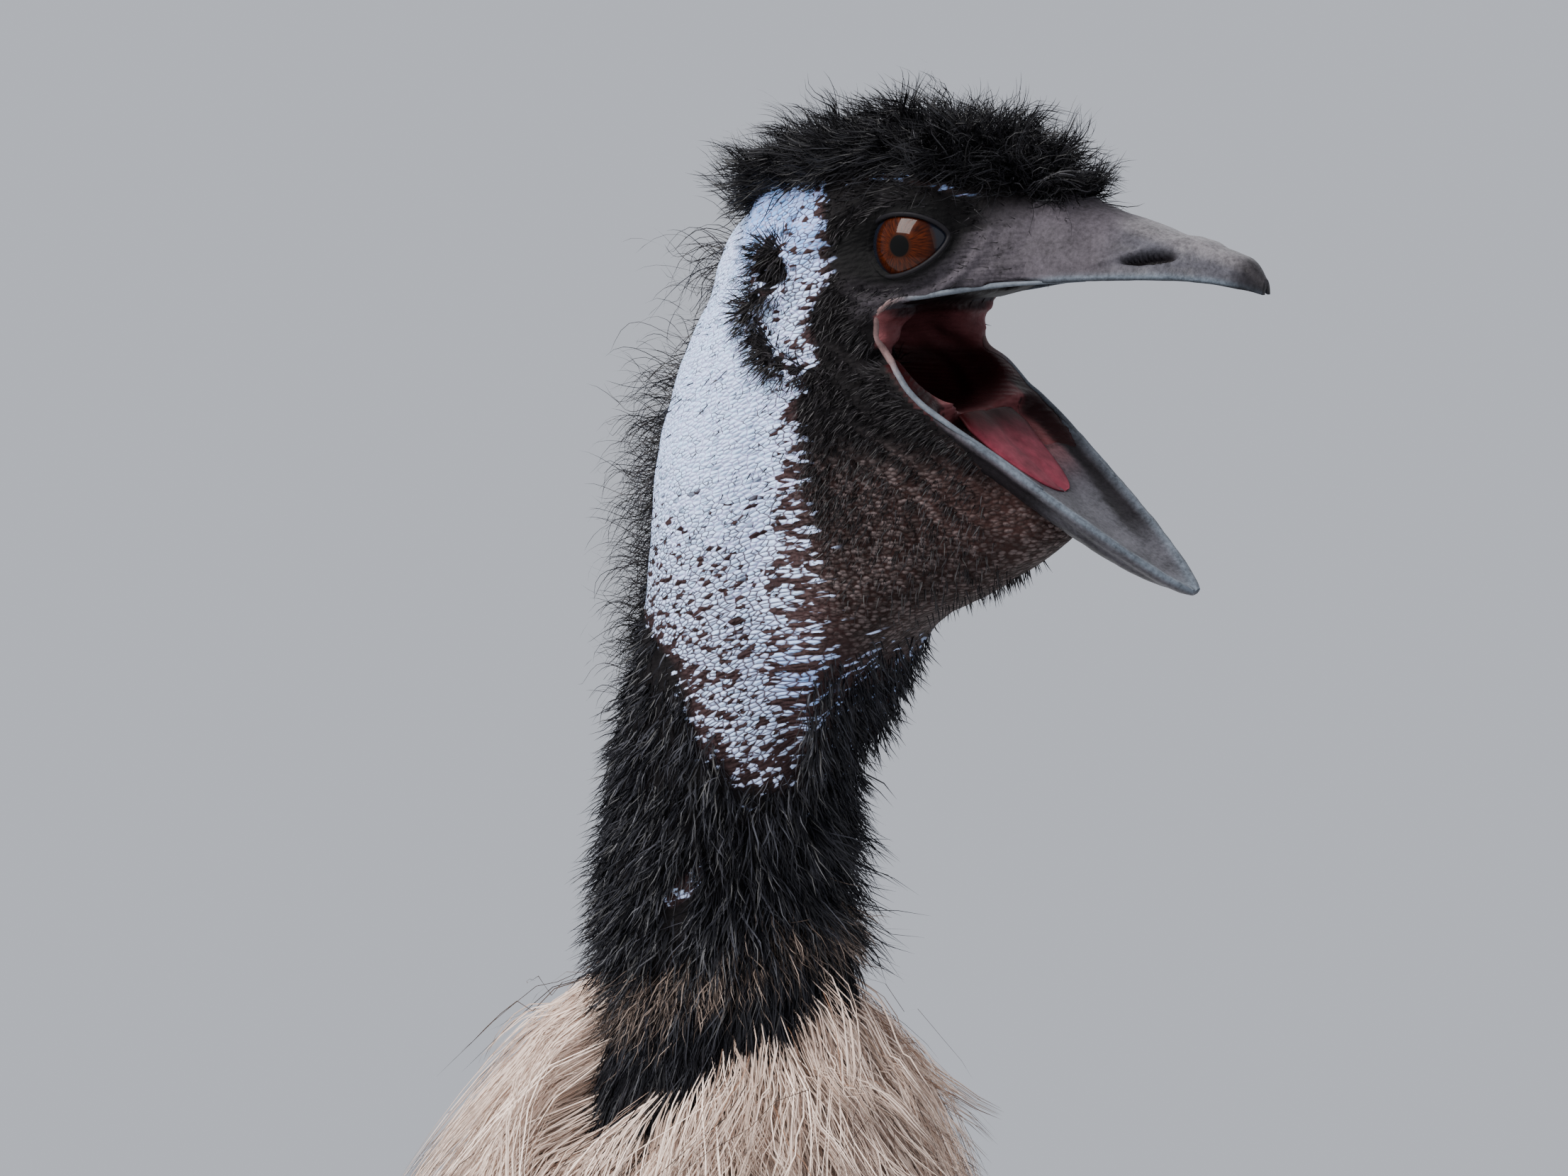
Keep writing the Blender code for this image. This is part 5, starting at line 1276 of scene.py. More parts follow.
def coat_piece(name, paths, width, roots, tone, sides=2, facing=None, taper=0.75):
    """Joins strands into one mesh: flat or three-sided, tapered, with their place on the coat map."""
    count, rows, _ = paths.shape
    ahead = np.gradient(paths, axis=1)
    ahead /= np.maximum(np.linalg.norm(ahead, axis=2), 1e-9)[..., None]
    if facing is None:
        facing = rng.normal(0, 1, (count, 3))
    side = np.cross(ahead, np.repeat(facing[:, None], rows, 1))
    side /= np.maximum(np.linalg.norm(side, axis=2), 1e-9)[..., None]
    up = np.cross(side, ahead)
    part = np.linspace(0, 1, rows)
    thick = width[:, None] * np.clip(1 - part[None] ** 2 * taper - (part[None] > 0.999) * 0.2, 0.04, None)
    rings = []
    for turn in range(sides):
        angle = 2 * math.pi * turn / sides
        rings.append(paths + (side * math.cos(angle) + up * math.sin(angle)) * thick[..., None] / 2)
    corners = np.stack(rings, 2).reshape(-1, 3)
    base = (np.arange(count) * rows * sides)[:, None, None]
    step = (np.arange(rows - 1) * sides)[None, :, None]
    pairs = [(turn, (turn + 1) % sides) for turn in range(sides if sides > 2 else 1)]
    quads = []
    for first, second in pairs:
        quad = np.array((first, second, second + sides, first + sides))
        quads.append((base + step + quad[None, None]).reshape(-1, 4))
    quads = np.concatenate(quads)
    mesh = bpy.data.meshes.new(name)
    mesh.vertices.add(len(corners))
    mesh.vertices.foreach_set("co", corners.reshape(-1))
    mesh.loops.add(quads.size)
    mesh.loops.foreach_set("vertex_index", quads.reshape(-1).astype(np.int32))
    mesh.polygons.add(len(quads))
    mesh.polygons.foreach_set("loop_start", np.arange(len(quads), dtype=np.int32) * 4)
    mesh.update(calc_edges=True)
    mesh.shade_smooth()
    patch = 0.003
    flat_at = np.repeat(flat_map(roots), rows * sides, 0)
    across = np.tile(np.arange(sides) / max(1, sides - 1), count * rows)
    along_strand = np.tile(np.repeat(part, sides), count)
    flat_at += np.column_stack((across, along_strand)) * patch
    bake_map = mesh.uv_layers.new(name="OFBake")
    bake_map.data.foreach_set("uv", flat_at[quads.reshape(-1)].astype(np.float32).reshape(-1))
    piece = bpy.data.objects.new(name, mesh)
    bpy.context.scene.collection.objects.link(piece)
    paint(piece, "along", along_strand)
    paint(piece, "tone", np.repeat(tone, rows * sides))
    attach(piece, "root")
    return piece


def hair_material(name, dark, light, tip, rough=0.5, tip_from=0.6):
    """Strands between two colours by their tone, that turn to a third at their tips."""
    look, tree, shader = new_material(name)
    body = mixed(tree, painted(tree, "tone"), dark, light)
    at_tip = spread(tree, painted(tree, "along"), tip_from, 1.0)
    linked(tree, shader, Base_Color=mixed(tree, at_tip, body, tip))
    shader.inputs["Roughness"].default_value = rough
    shader.inputs["Specular IOR Level"].default_value = 0.16
    return look


def from_eyes(places):
    return (places - between_eyes).T


def head_way(places):
    """The lie of the coat on the head and neck: back over the face, then down."""
    x, y, z = from_eyes(places)
    back = smooth_step(-0.030, 0.010, x)
    way = np.column_stack((-0.35 - back * 0.9, np.zeros(len(x)), -0.9 + back * 0.75))
    down = smooth_step(-0.030, -0.075, z)[:, None]
    return unit(way * (1 - down) + np.array((-0.10, 0.0, -1.0)) * down)


def out_of_eyes(x, z, y, reach=1.25):
    return (round_opening(x, z)[2] > reach) | (abs(y) < 0.014)


black_hair = hair_material("black_hair", (0.004, 0.0035, 0.004, 1), (0.030, 0.027, 0.030, 1),
                           (0.010, 0.009, 0.011, 1))
crest_hair = hair_material("crest_hair", (0.0035, 0.0032, 0.0038, 1), (0.026, 0.026, 0.031, 1),
                           (0.007, 0.0065, 0.008, 1), 0.42)
sleeve_hair = hair_material("sleeve_hair", (0.0035, 0.0035, 0.005, 1), (0.048, 0.049, 0.060, 1),
                            (0.008, 0.008, 0.011, 1), 0.40)
ruff_hair = hair_material("ruff_hair", (0.19, 0.105, 0.068, 1), (0.85, 0.69, 0.60, 1),
                          (0.050, 0.033, 0.027, 1), 0.45, 0.66)
dark_hair = hair_material("dark_hair", (0.010, 0.008, 0.008, 1), (0.130, 0.092, 0.074, 1),
                          (0.014, 0.011, 0.010, 1), 0.45)
fold_hair = hair_material("fold_hair", (0.020, 0.014, 0.012, 1), (0.330, 0.250, 0.210, 1),
                          (0.060, 0.044, 0.036, 1), 0.45, 0.75)

# Short bristles over the face and cheeks
def on_face(centres, normals):
    x, y, z = from_eyes(centres)
    share = smooth_step(0.034, 0.010, x) * smooth_step(-0.100, -0.060, z)
    share *= out_of_eyes(x, z, y) * (mouth_inside(centres, normals) < 0.5)
    share *= 1 - 0.97 * smooth_step(0.10, 0.50, bare_blue(seen_from_eyes(centres)))
    share *= 1 - 0.80 * bare_grey(seen_from_eyes(centres))
    share *= 1 - smooth_step(0.016, 0.022, x) * smooth_step(-0.002, -0.008, z)
    lip = between(x, (-0.008, 0.0054, 0.0233, 0.06), (-0.018, -0.0128, -0.0098, -0.007))
    share *= 1 - smooth_step(0.004, 0.001, z - lip) * smooth_step(-0.006, -0.002, x) * (z > -0.020)
    share *= 1 - 0.55 * smooth_step(-0.040, -0.056, z) * smooth_step(-0.03, -0.01, x)
    return share


def on_ear(centres, normals):
    return smooth_step(0.15, 0.7, ear_hair(seen_from_eyes(centres)))


roots, normals = scattered(29500, on_face)
length = rng.uniform(0.0022, 0.0050, len(roots))
paths = freed(roots, normals, head_way(roots) + rng.normal(0, 0.25, roots.shape), length,
              rng.uniform(0.15, 0.6, len(roots)), 2, curl=0.05)
piece = coat_piece("face_bristles", paths, np.full(len(roots), 0.00036), roots,
                   rng.random(len(roots)) ** 2)
piece.data.materials.append(black_hair)

# Longer bristles that spread out of the ear and over the blue skin behind it
roots, normals = scattered(3000, on_ear)
beside = 0.0015
slope_x, slope_z = (ear_hair(seen_from_eyes(roots + step)) - ear_hair(seen_from_eyes(roots - step))
                    for step in (np.array((beside, 0.0, 0.0)), np.array((0.0, 0.0, beside))))
spread_out = np.column_stack((-slope_x, 0 * slope_x, -slope_z))
ways = unit(unit(spread_out) * 0.8 + np.array((-0.45, 0.0, -0.25)) + rng.normal(0, 0.3, roots.shape))
length = rng.uniform(0.0030, 0.0078, len(roots))
paths = freed(roots, normals, ways, length, rng.uniform(0.12, 0.45, len(roots)), 3, fall=0.1, curl=0.05)
piece = coat_piece("ear_bristles", paths, np.full(len(roots), 0.00033), roots,
                   rng.random(len(roots)) ** 2)
piece.data.materials.append(black_hair)


# Crest on the crown and down the back of the head
def on_crown(centres, normals):
    x, y, z = from_eyes(centres)
    low = between(x, (-0.075, -0.062, -0.045, -0.025, 0.0, 0.020, 0.034),
                  (0.0060, 0.0085, 0.0135, 0.0165, 0.0185, 0.0150, 0.0105))
    return smooth_step(-0.003, 0.004, z - low) * smooth_step(0.042, 0.030, x)


roots, normals = scattered(12000, on_crown)
x, y, z = from_eyes(roots)
length = rng.uniform(0.009, 0.018, len(roots))
length *= 0.60 + 0.40 * smooth_step(0.040, 0.026, x)
length *= between(x, (-0.07, -0.05, -0.02, 0.0, 0.018, 0.03), (0.70, 0.70, 0.72, 0.85, 1.1, 1.05))
length *= 1 + 0.35 * noise_at(roots, 0.010, 22)
forward = smooth_step(-0.012, 0.024, x)
ways = np.column_stack((-0.9 + 1.30 * forward, np.sign(y) * 0.30, -0.25 + 0.35 * forward))
ways += rng.normal(0, 0.40, roots.shape)
clumps = noise_at(roots, 0.006, 21)[:, None] * (1.3, 0.9, 0.9)
clumps += noise_at(roots, 0.006, 24)[:, None] * (0.2, 1.1, -0.5)
lift = rng.uniform(0.35, 1.15, len(roots)) * between(x, (-0.06, -0.02, 0.01), (0.75, 0.8, 1.0))
paths = freed(roots, normals, unit(ways + clumps), length, lift, 6, fall=0.30, curl=0.15)
piece = coat_piece("crest", paths, rng.uniform(0.00026, 0.00044, len(roots)), roots,
                   rng.random(len(roots)) ** 2.5)
piece.data.materials.append(crest_hair)


# Curling locks that break out of the crest, the longest over the brow and behind the crown
lock_count, lock_hairs, lock_steps = 210, 20, 9
lock_roots, lock_normals = scattered(lock_count, on_crown)
lock_x, lock_y, _ = from_eyes(lock_roots)
lock_forward = smooth_step(-0.012, 0.024, lock_x)
lock_ways = np.column_stack((-0.9 + 1.15 * lock_forward, np.sign(lock_y) * 0.3, 0.1 - lock_x * 0))
lock_ways = unit(lock_ways + rng.normal(0, 0.45, lock_roots.shape))
lock_length = rng.uniform(0.018, 0.031, lock_count)
lock_length *= between(lock_x, (-0.06, -0.03, 0.0, 0.018, 0.035), (0.75, 0.60, 0.65, 0.85, 0.55))
lock_lift = rng.uniform(0.5, 1.2, lock_count)
locks = freed(lock_roots, lock_normals, lock_ways, lock_length, lock_lift, lock_steps, fall=0.22, curl=0.17)
apart = np.repeat(rng.normal(0, 1, (lock_count * lock_hairs, 1, 3)), lock_steps + 1, 1)
widening = (0.0008 + 0.0014 * np.linspace(0, 1, lock_steps + 1) ** 2)[None, :, None]
paths = np.repeat(locks, lock_hairs, 0) + apart * widening
roots = np.repeat(lock_roots, lock_hairs, 0)
piece = coat_piece("crest_locks", paths, rng.uniform(0.00024, 0.00038, len(roots)), roots,
                   rng.random(len(roots)) ** 2.5)
piece.data.materials.append(crest_hair)


# Wispy curls down the nape and sparse hairs on the bare neck
def on_nape(centres, normals):
    x, y, z = from_eyes(centres)
    back = smooth_step(0.86, 0.985, -normals[:, 0])
    return back * smooth_step(0.006, -0.002, z) * smooth_step(-0.130, -0.110, z)


roots, normals = scattered(1850, on_nape)
length = rng.uniform(0.008, 0.024, len(roots)) * between(from_eyes(roots)[2], (-0.1, 0.0), (0.75, 1.15))
ways = unit(np.array((-0.15, 0.0, -1.0)) + rng.normal(0, 0.45, roots.shape)
            + noise_at(roots, 0.006, 25)[:, None] * (0.2, 0.5, 0.6))
paths = freed(roots, normals, ways, length, rng.uniform(0.4, 1.4, len(roots)), 10, curl=0.27)
piece = coat_piece("nape_curls", paths, np.full(len(roots), 0.00026), roots,
                   rng.random(len(roots)) ** 2)
piece.data.materials.append(black_hair)


# Black fuzz of the lower neck, which ends in a fold over the ruff
fold_line = ((-0.100, -0.068, -0.0575, -0.046, -0.040), (-0.2215, -0.2074, -0.2039, -0.1957, -0.1935))
hanging = 0.008


def on_sleeve(centres, normals):
    x, y, z = from_eyes(centres)
    edge = between(x, (-0.090, -0.078, -0.0645, -0.0575, -0.0485, -0.040, -0.025),
                   (-0.088, -0.100, -0.111, -0.128, -0.142, -0.136, -0.105))
    low = between(x, *fold_line) + hanging
    share = smooth_step(0.006, -0.012, z - edge) * smooth_step(-0.003, 0.003, z - low)
    share *= 1 - 0.9 * smooth_step(0.15, 0.45, bare_blue(seen_from_eyes(centres))) * smooth_step(-0.150, -0.158, z)
    return share * between(z, (-0.125, -0.085), (1.0, 0.55))


roots, normals = scattered(25000, on_sleeve)
x, y, z = from_eyes(roots)
length = rng.uniform(0.006, 0.013, len(roots)) * between(z, (-0.19, -0.13, -0.10), (1.2, 0.85, 0.45))
ways = np.array((-0.12, 0.0, -1.0)) + rng.normal(0, 0.28, roots.shape)
clumps = noise_at(roots, 0.007, 32)[:, None] * (0.4, 0.9, 0.1)
tufts = np.clip(noise_at(roots, 0.010, 33) * 1.6, 0, 1) * smooth_step(0.2, 0.8, normals[:, 0])
tufts *= smooth_step(-0.125, -0.155, z)
length *= 1 + 0.8 * tufts + 0.25 * noise_at(roots, 0.009, 34)
paths = freed(roots, normals, unit(ways + clumps), length,
              np.abs(rng.normal(0.30, 0.22, len(roots))) + 0.5 * tufts, 3, curl=0.08)
piece = coat_piece("sleeve", paths, rng.uniform(0.00030, 0.00052, len(roots)), roots,
                   rng.random(len(roots)) ** 3)
piece.data.materials.append(sleeve_hair)


# Brown tips along the fold
def on_fold_rim(centres, normals):
    x, y, z = from_eyes(centres)
    return bump(z, between(x, *fold_line) + hanging + 0.004, 0.006)


roots, normals = scattered(3000, on_fold_rim)
length = rng.uniform(0.008, 0.017, len(roots))
ways = unit(np.array((-0.15, 0.0, -1.0)) + rng.normal(0, 0.30, roots.shape))
paths = freed(roots, normals, ways, length, rng.uniform(0.2, 0.7, len(roots)), 4, curl=0.10)
piece = coat_piece("fold_tips", paths, rng.uniform(0.00024, 0.00040, len(roots)), roots,
                   rng.random(len(roots)) ** 1.6)
piece.data.materials.append(fold_hair)


def body_way(places):
    """The lie of the body feathers: from the parting out and down, and back along the tail."""
    off = places - bird_origin
    side = np.sign(off[:, 1])
    over = smooth_step(0.02, 0.14, abs(off[:, 1]))
    spreading = side * 0.75 * (1 - 0.6 * over)
    way = np.column_stack((-0.75 - off[:, 0] * 0, spreading, -1.0 - off[:, 0] * 0))
    tail = smooth_step(-0.30, -0.42, off[:, 0])[:, None]
    way = way * (1 - tail) + np.column_stack((-0.55 + side * 0, side * 0.30, -1.2 + side * 0)) * tail
    chest = (smooth_step(0.14, 0.26, off[:, 0]) * np.ones(len(off)))[:, None]
    away = unit(np.column_stack((off[:, 0] * 0 - 0.25, off[:, 1] * 0.8, off[:, 0] * 0 - 1.0)))
    way = unit(way) * (1 - chest) + away * chest
    saddle = bump(off[:, 0], 0.20, 0.07) * smooth_step(0.98, 1.04, off[:, 2]) * smooth_step(0.16, 0.08, abs(off[:, 1]))
    backward = unit(np.column_stack((off[:, 0] * 0 - 1.0, side * 0.45, off[:, 0] * 0 - 0.35)))
    way = way * (1 - saddle[:, None]) + backward * saddle[:, None]
    thigh = smooth_step(0.70, 0.60, off[:, 2])[:, None]
    return unit(unit(way) * (1 - thigh) + np.array((-0.15, 0.0, -1.0)) * thigh)


# Silky ruff round the foot of the neck
ruff_line = ((-0.096, -0.0905, -0.0870, -0.080, -0.0725, -0.064, -0.058, -0.049, -0.044, -0.040),
             (-0.196, -0.1990, -0.2360, -0.230, -0.2250, -0.220, -0.215, -0.206, -0.202, -0.194))


def on_ruff(centres, normals):
    x, y, z = from_eyes(centres)
    near_high = between(x, *ruff_line)
    far_high = between(x, (-0.10, -0.04), (-0.198, -0.204))
    high = np.where(y < 0, near_high, far_high)
    return smooth_step(0.002, -0.004, z - high) * smooth_step(-0.315, -0.250, z)


def gathered(paths, roots, guides, guide_roots, pull):
    """Draws strands together into locks: each leans towards the guide whose root is nearest."""
    drawn = paths.copy()
    for first in range(0, len(roots), 4000):
        apart = np.linalg.norm(roots[first:first + 4000, None] - guide_roots[None], axis=2)
        nearest = apart.argmin(1)
        share = ((0.22 + 0.78 * np.linspace(0, 1, paths.shape[1]) ** 0.6) * pull)[None, :, None]
        drawn[first:first + 4000] = paths[first:first + 4000] * (1 - share) + guides[nearest] * share
    return drawn


ruff_count, lock_count, ruff_steps = 15000, 520, 6
roots, normals = scattered(ruff_count + lock_count, on_ruff)
x, y, z = from_eyes(roots)
length = rng.uniform(0.050, 0.110, len(roots))
height = between(z, (-0.31, -0.27, -0.225, -0.20), (0.030, 0.038, 0.042, 0.038))
height *= rng.uniform(0.60, 1.1, len(roots))
outward = unit(np.column_stack((x - np.interp(z, (-0.30, -0.20), (-0.085, -0.072)), y, x * 0)))
paths = laid(roots, normals, lambda at: np.tile((-0.08, 0.0, -1.0), (len(at), 1)), length, height,
             ruff_steps, wander=0.24, rush=0.45)
along = np.linspace(0, 1, ruff_steps + 1)
flick = smooth_step(0.2, 0.9, outward[:, 0])[:, None, None] * rng.uniform(0, 1, (len(roots), 1, 1)) ** 2
paths += flick * (along ** 3)[None, :, None] * np.array((0.026, 0.0, 0.026))
paths = gathered(paths[:ruff_count], roots[:ruff_count], paths[ruff_count:], roots[ruff_count:], 0.82)
lock_tone = noise_at(roots[:ruff_count], 0.009, 51) * 0.35
lock_tone -= 0.42 * smooth_step(-0.235, -0.292, z[:ruff_count])
piece = coat_piece("ruff_strands", paths, rng.uniform(0.00018, 0.00040, ruff_count), roots[:ruff_count],
                   np.clip(rng.normal(0.62, 0.22, ruff_count) + lock_tone, 0, 1))
piece.data.materials.append(ruff_hair)

# Short locks in front of the neck, whose dark tips flick out
def on_ruff_front(centres, normals):
    x, y, z = from_eyes(centres)
    return on_ruff(centres, normals) * smooth_step(0.15, 0.5, normals[:, 0]) * smooth_step(-0.245, -0.225, z)


flick_count, flick_hairs = 64, 16
flick_roots, flick_normals = scattered(flick_count, on_ruff_front)
length = rng.uniform(0.026, 0.048, flick_count)
flick_height = rng.uniform(0.016, 0.034, flick_count)
flicks = laid(flick_roots, flick_normals, lambda at: np.tile((0.0, 0.0, -1.0), (len(at), 1)), length,
              flick_height, 8, wander=0.20, rush=0.6)
thrown = (np.linspace(0, 1, 9) ** 2.5)[None, :, None] * rng.uniform(0.4, 1.2, (flick_count, 1, 1))
flicks += thrown * (flick_normals[:, None] * (1, 1, 0) * 0.013 + np.array((0.0, 0.0, 0.006)))
apart = np.repeat(rng.normal(0, 1, (flick_count * flick_hairs, 1, 3)), 9, 1)
paths = np.repeat(flicks, flick_hairs, 0) + apart * (0.0026 - 0.0016 * np.linspace(0, 1, 9))[None, :, None]
roots = np.repeat(flick_roots, flick_hairs, 0)
piece = coat_piece("ruff_flicks", paths, rng.uniform(0.00026, 0.00046, len(roots)), roots,
                   np.clip(rng.normal(0.45, 0.22, len(roots)), 0, 1))
piece.data.materials.append(ruff_hair)

# Thin dark hairs that lie over the ruff
roots, normals = scattered(420, on_ruff)
length = rng.uniform(0.030, 0.070, len(roots))
height = rng.uniform(0.024, 0.042, len(roots))
paths = laid(roots, normals, lambda at: np.tile((-0.08, 0.0, -1.0), (len(at), 1)), length, height, 7,
             wander=0.34, rush=0.45)
piece = coat_piece("ruff_hairs", paths, np.full(len(roots), 0.00030), roots, rng.random(len(roots)))
piece.data.materials.append(dark_hair)


# Black strands under the fold, which show between the locks of the ruff in front
def on_fold(centres, normals):
    x, y, z = from_eyes(centres)
    top = between(x, *fold_line) + hanging
    return smooth_step(0.002, -0.002, z - top) * smooth_step(-0.004, 0.000, z - between(x, *ruff_line)) * (y < 0.012)


roots, normals = scattered(4200, on_fold)
x, y, z = from_eyes(roots)
length = rng.uniform(0.010, 0.022, len(roots))
height = length * rng.uniform(0.15, 0.35, len(roots))
paths = laid(roots, normals, lambda at: np.tile((-0.12, 0.0, -1.0), (len(at), 1)), length, height, 4,
             wander=0.22, rush=0.7)
piece = coat_piece("collar", paths, rng.uniform(0.00030, 0.00048, len(roots)), roots,
                   rng.random(len(roots)) ** 3)
piece.data.materials.append(sleeve_hair)


# Long loose feathers of the body, tail and thighs: a shaft with soft barbs that stand apart
plume_look, tree, shader = new_material("plumes")
plume_tone = painted(tree, "tone")
plume_along = painted(tree, "along")
plume = mixed(tree, plume_tone, (0.060, 0.040, 0.029, 1), (0.155, 0.108, 0.078, 1))
plume = mixed(tree, painted(tree, "shaft"), plume, (0.34, 0.27, 0.21, 1))
plume = mixed(tree, spread(tree, plume_along, 0.62, 1.0), plume, (0.016, 0.012, 0.011, 1))
linked(tree, shader, Base_Color=plume)
shader.inputs["Roughness"].default_value = 0.6
shader.inputs["Specular IOR Level"].default_value = 0.25


def plume_piece(name, paths, outward, width, roots, tone, barbs=22):
    """Joins feathers into one mesh: a flat shaft, and thin barbs in two rows along it."""
    count, rows, _ = paths.shape
    steps = np.linspace(0.06, 0.98, barbs)
    spot = steps * (rows - 1)
    first = np.minimum(spot.astype(int), rows - 2)
    share = (spot - first)[None, :, None]
    on_shaft = paths[:, first] * (1 - share) + paths[:, first + 1] * share
    ahead = paths[:, first + 1] - paths[:, first]
    ahead /= np.maximum(np.linalg.norm(ahead, axis=2), 1e-9)[..., None]
    side = np.cross(ahead, np.repeat(outward[:, None], barbs, 1))
    side /= np.maximum(np.linalg.norm(side, axis=2), 1e-9)[..., None]
    reach = width[:, None] * np.interp(steps, (0.0, 0.25, 0.8, 1.0), (0.6, 1.0, 0.8, 0.35))[None]
    shape = (count, barbs)
    corners, uv_local, shafts = [], [], []
    barb_width = 0.0011
    for hand in (1, -1):
        angle = rng.normal(0.72, 0.12, shape)[..., None]
        droop = rng.normal(0.0, 0.12, shape)[..., None] * outward[:, None]
        out = (side * hand * np.sin(angle) + ahead * np.cos(angle) + droop) * reach[..., None]
        out *= rng.uniform(0.75, 1.2, shape)[..., None]
        corners.append(np.stack((on_shaft - ahead * barb_width / 2, on_shaft + ahead * barb_width / 2,
                                 on_shaft + out), 2))
        local = np.empty((count, barbs, 3, 2))
        local[..., 0] = np.array((0.5, 0.5, 0.5 + hand * 0.45))[None, None]
        local[..., 1] = steps[None, :, None] + np.array((0, 0, 0.05))[None, None]
        uv_local.append(local)
    barb_corners = np.stack(corners, 2).reshape(-1, 3)
    barb_uv = np.stack(uv_local, 2).reshape(-1, 2)
    barb_of = np.repeat(np.arange(count), barbs * 2 * 3)
    across = np.cross(np.gradient(paths, axis=1), np.repeat(outward[:, None], rows, 1))
    across /= np.maximum(np.linalg.norm(across, axis=2), 1e-9)[..., None]
    part = np.linspace(0, 1, rows)
    shaft_wide = (0.0011 * (1 - 0.8 * part))[None, :, None]
    shaft_corners = np.stack((paths - across * shaft_wide / 2, paths + across * shaft_wide / 2), 2)
    shaft_uv = np.empty((count, rows, 2, 2))
    shaft_uv[..., 0] = np.array((0.46, 0.54))[None, None]
    shaft_uv[..., 1] = part[None, :, None]
    start = len(barb_corners)
    triangles = np.arange(start).reshape(-1, 3)
    base = (np.arange(count) * rows * 2 + start)[:, None, None]
    step = (np.arange(rows - 1) * 2)[None, :, None]
    lower = (base + step + np.array((0, 1, 3))[None, None]).reshape(-1, 3)
    higher = (base + step + np.array((0, 3, 2))[None, None]).reshape(-1, 3)
    faces = np.concatenate((triangles, lower, higher))
    corners = np.concatenate((barb_corners, shaft_corners.reshape(-1, 3)))
    local = np.concatenate((barb_uv, shaft_uv.reshape(-1, 2)))
    of = np.concatenate((barb_of, np.repeat(np.arange(count), rows * 2)))
    mesh = bpy.data.meshes.new(name)
    mesh.vertices.add(len(corners))
    mesh.vertices.foreach_set("co", corners.reshape(-1))
    mesh.loops.add(faces.size)
    mesh.loops.foreach_set("vertex_index", faces.reshape(-1).astype(np.int32))
    mesh.polygons.add(len(faces))
    mesh.polygons.foreach_set("loop_start", np.arange(len(faces), dtype=np.int32) * 3)
    mesh.update(calc_edges=True)
    flat_at = flat_map(roots)[of] + local * 0.003
    mesh.uv_layers.new(name="OFBake").data.foreach_set(
        "uv", flat_at[faces.reshape(-1)].astype(np.float32).reshape(-1))
    piece = bpy.data.objects.new(name, mesh)
    bpy.context.scene.collection.objects.link(piece)
    paint(piece, "along", local[:, 1])
    paint(piece, "tone", tone[of])
    paint(piece, "shaft", np.concatenate((np.zeros(start), np.ones(len(corners) - start))))
    piece.data.materials.append(plume_look)
    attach(piece, "root")
    return piece


def on_trunk(centres, normals):
    off = centres - bird_origin
    z_eyes = centres[:, 2] - between_eyes[2]
    share = smooth_step(-0.235, -0.295, z_eyes) * smooth_step(0.466, 0.484, off[:, 2])
    share *= 0.8 + 0.5 * smooth_step(-0.35, -0.45, off[:, 0])
    ridge = smooth_step(0.045, 0.015, abs(off[:, 1])) * smooth_step(0.5, 0.8, normals[:, 2])
    return share * (1 + 1.4 * ridge)


def in_saddle(places):
    """Where the neck leaves the back: the hollow in front of the shoulders."""
    off = places - bird_origin
    found = bump(off[:, 0], 0.185, 0.075) * smooth_step(0.93, 1.00, off[:, 2])
    return found * smooth_step(0.16, 0.08, abs(off[:, 1]))


feather_count = 12450
roots, normals = scattered(feather_count, on_trunk)
off = roots - bird_origin
length = rng.uniform(0.090, 0.150, feather_count)
length *= between(off[:, 0], (-0.50, -0.40, -0.1, 0.20, 0.40), (1.25, 1.15, 1.0, 0.85, 0.70))
length *= between(off[:, 2], (0.48, 0.55, 0.70), (0.35, 0.75, 1.0))
deep = between(off[:, 2], (0.48, 0.56, 0.66, 0.80), (0.008, 0.018, 0.045, 0.078))
deep *= between(off[:, 0], (-0.50, -0.44, 0.25, 0.36, 0.43), (0.75, 1.0, 1.0, 0.65, 0.50))
height = deep * (0.25 + 0.75 * rng.random(feather_count) ** 1.3)
height *= 1 - 0.72 * in_saddle(roots)
start_normals = normals.copy()
paths = laid(roots, normals, body_way, length, height, 6, wander=0.16)
tail_end = bird_origin[0] - 0.545
beyond = np.minimum(paths[..., 0] - tail_end, 0.0)
paths[..., 0] -= beyond * 0.65
lifted = np.maximum(paths[..., 2] - paths[:, :1, 2] - 0.012, 0.0)
paths[..., 2] -= lifted * in_saddle(roots)[:, None] * 0.8
order = np.argsort(off[:, 0], kind="stable")
tone = rng.normal(0.5, 0.28, feather_count) + noise_at(roots, 0.08, 41) * 0.35
tone = np.clip(tone + 0.45 * smooth_step(-0.42, -0.30, roots[:, 2] - between_eyes[2]), 0, 1)
width = rng.uniform(0.012, 0.019, feather_count) * between(off[:, 2], (0.48, 0.56, 0.70), (0.45, 0.7, 1.0))
pieces_wanted = 5
for number, chosen in enumerate(np.array_split(order, pieces_wanted)):
    plume_piece(f"plumes_{number + 1}", paths[chosen], start_normals[chosen], width[chosen],
                roots[chosen], tone[chosen])

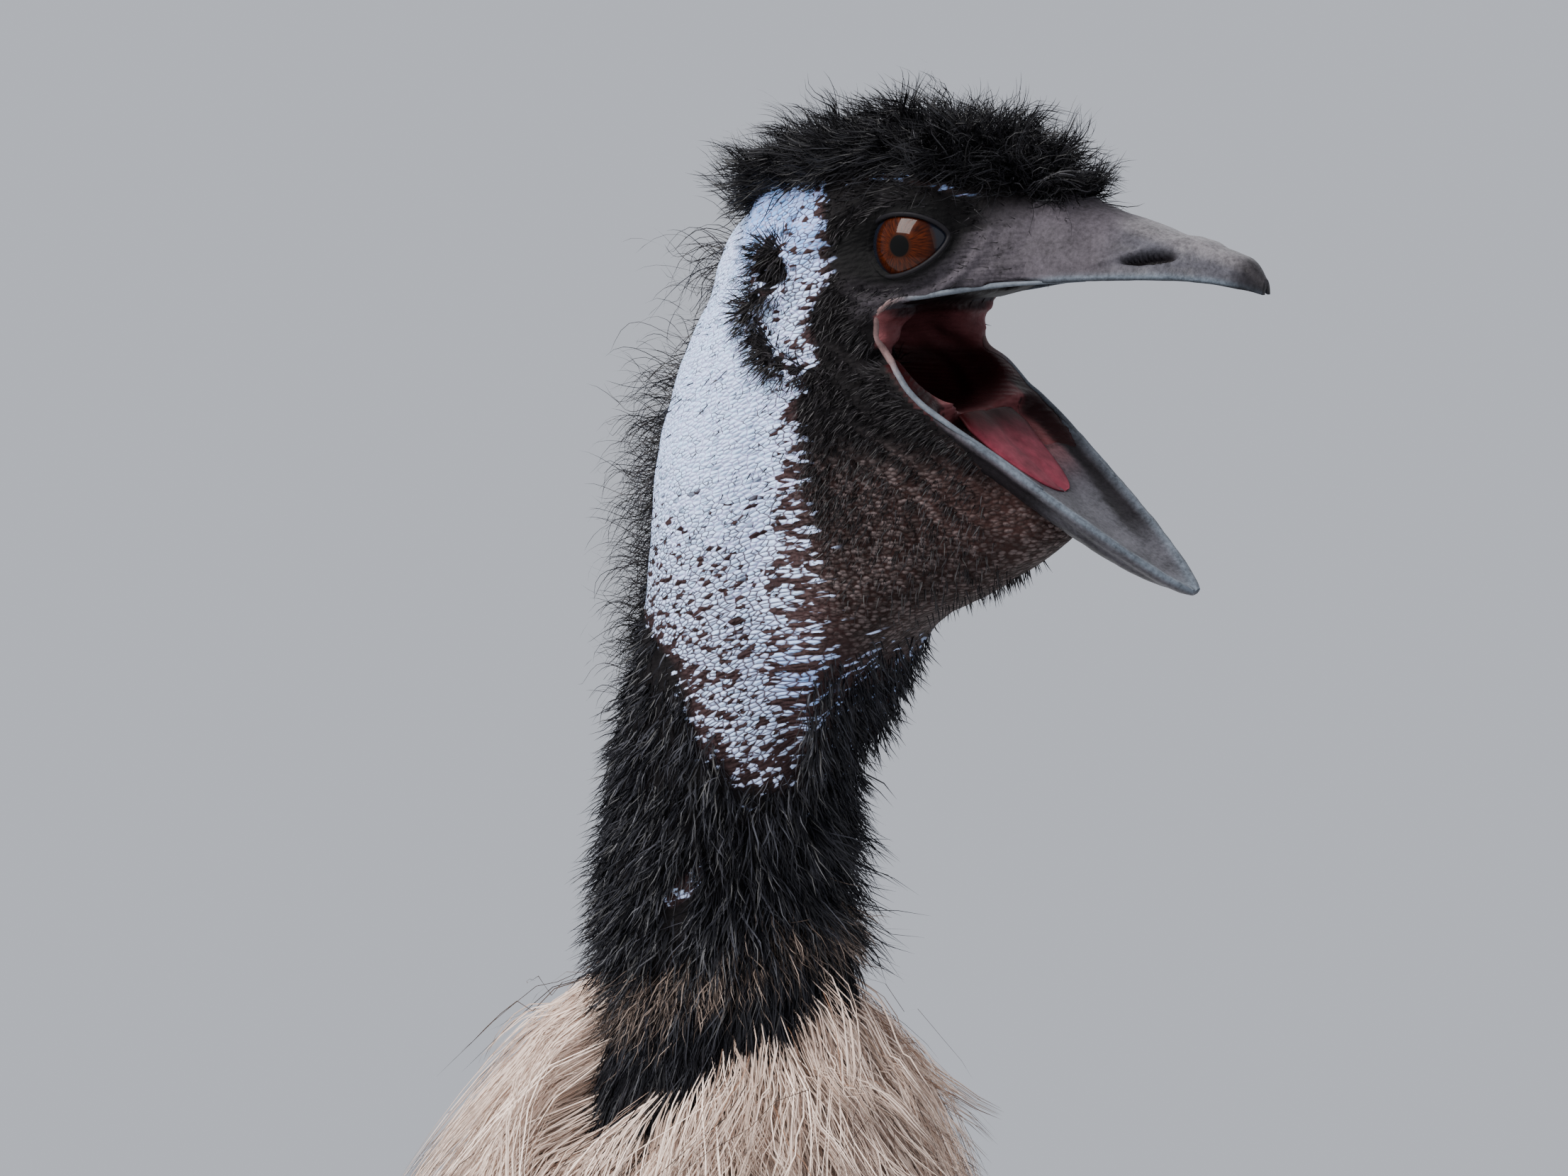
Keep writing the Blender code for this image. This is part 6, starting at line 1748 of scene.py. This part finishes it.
# Floor
floor_radius = 3.0
bm = bmesh.new()
bmesh.ops.create_circle(bm, cap_ends=True, segments=192, radius=floor_radius)
studio_floor = new_piece("studio_floor", bm)
floor_look, tree, shader = new_material("floor")
shader.inputs["Base Color"].default_value = (0.88, 0.88, 0.87, 1)
shader.inputs["Roughness"].default_value = 0.9
studio_floor.data.materials.append(floor_look)

world = bpy.data.worlds.new("studio")
bpy.context.scene.world = world
world.use_nodes = True
world.node_tree.nodes["Background"].inputs["Color"].default_value = (0.86, 0.90, 1.0, 1)
world.node_tree.nodes["Background"].inputs["Strength"].default_value = 0.66

# Camera
image_width = 2212
focal_pixels = 4770
sensor_width = 36.0
look_turn = math.radians(34)
look_down = math.radians(8)
look_distance = 0.90
look_at = Vector(between_eyes + (-0.0537, 0.0, -0.0928))
towards_camera = Vector((math.sin(look_turn) * math.cos(look_down),
                         -math.cos(look_turn) * math.cos(look_down), math.sin(look_down)))
lens = bpy.data.cameras.new("camera")
lens.sensor_width = sensor_width
lens.lens = sensor_width * focal_pixels / image_width
lens.clip_start = 0.05
camera = bpy.data.objects.new("camera", lens)
camera.location = look_at + towards_camera * look_distance
camera.rotation_euler = towards_camera.to_track_quat("Z", "Y").to_euler()
bpy.context.scene.collection.objects.link(camera)
bpy.context.scene.camera = camera


def soft_light(name, turn, climb, distance, size, power, colour=(1, 1, 1)):
    """A large square lamp that faces the head from a compass turn and a height above it."""
    data = bpy.data.lights.new(name, "AREA")
    data.shape = "SQUARE"
    data.size = size
    data.energy = power
    data.color = colour
    lamp = bpy.data.objects.new(name, data)
    turn, climb = math.radians(turn), math.radians(climb)
    out = Vector((math.sin(turn) * math.cos(climb), -math.cos(turn) * math.cos(climb), math.sin(climb)))
    lamp.location = Vector((0.15, 0.0, 1.1)) + out * distance
    lamp.rotation_euler = out.to_track_quat("Z", "Y").to_euler()
    bpy.context.scene.collection.objects.link(lamp)


soft_light("key", -16, 50, 2.8, 1.7, 215, (1.0, 0.98, 0.95))
soft_light("fill", 80, 22, 3.2, 2.6, 32)
soft_light("back", 190, 40, 3.2, 2.4, 18)
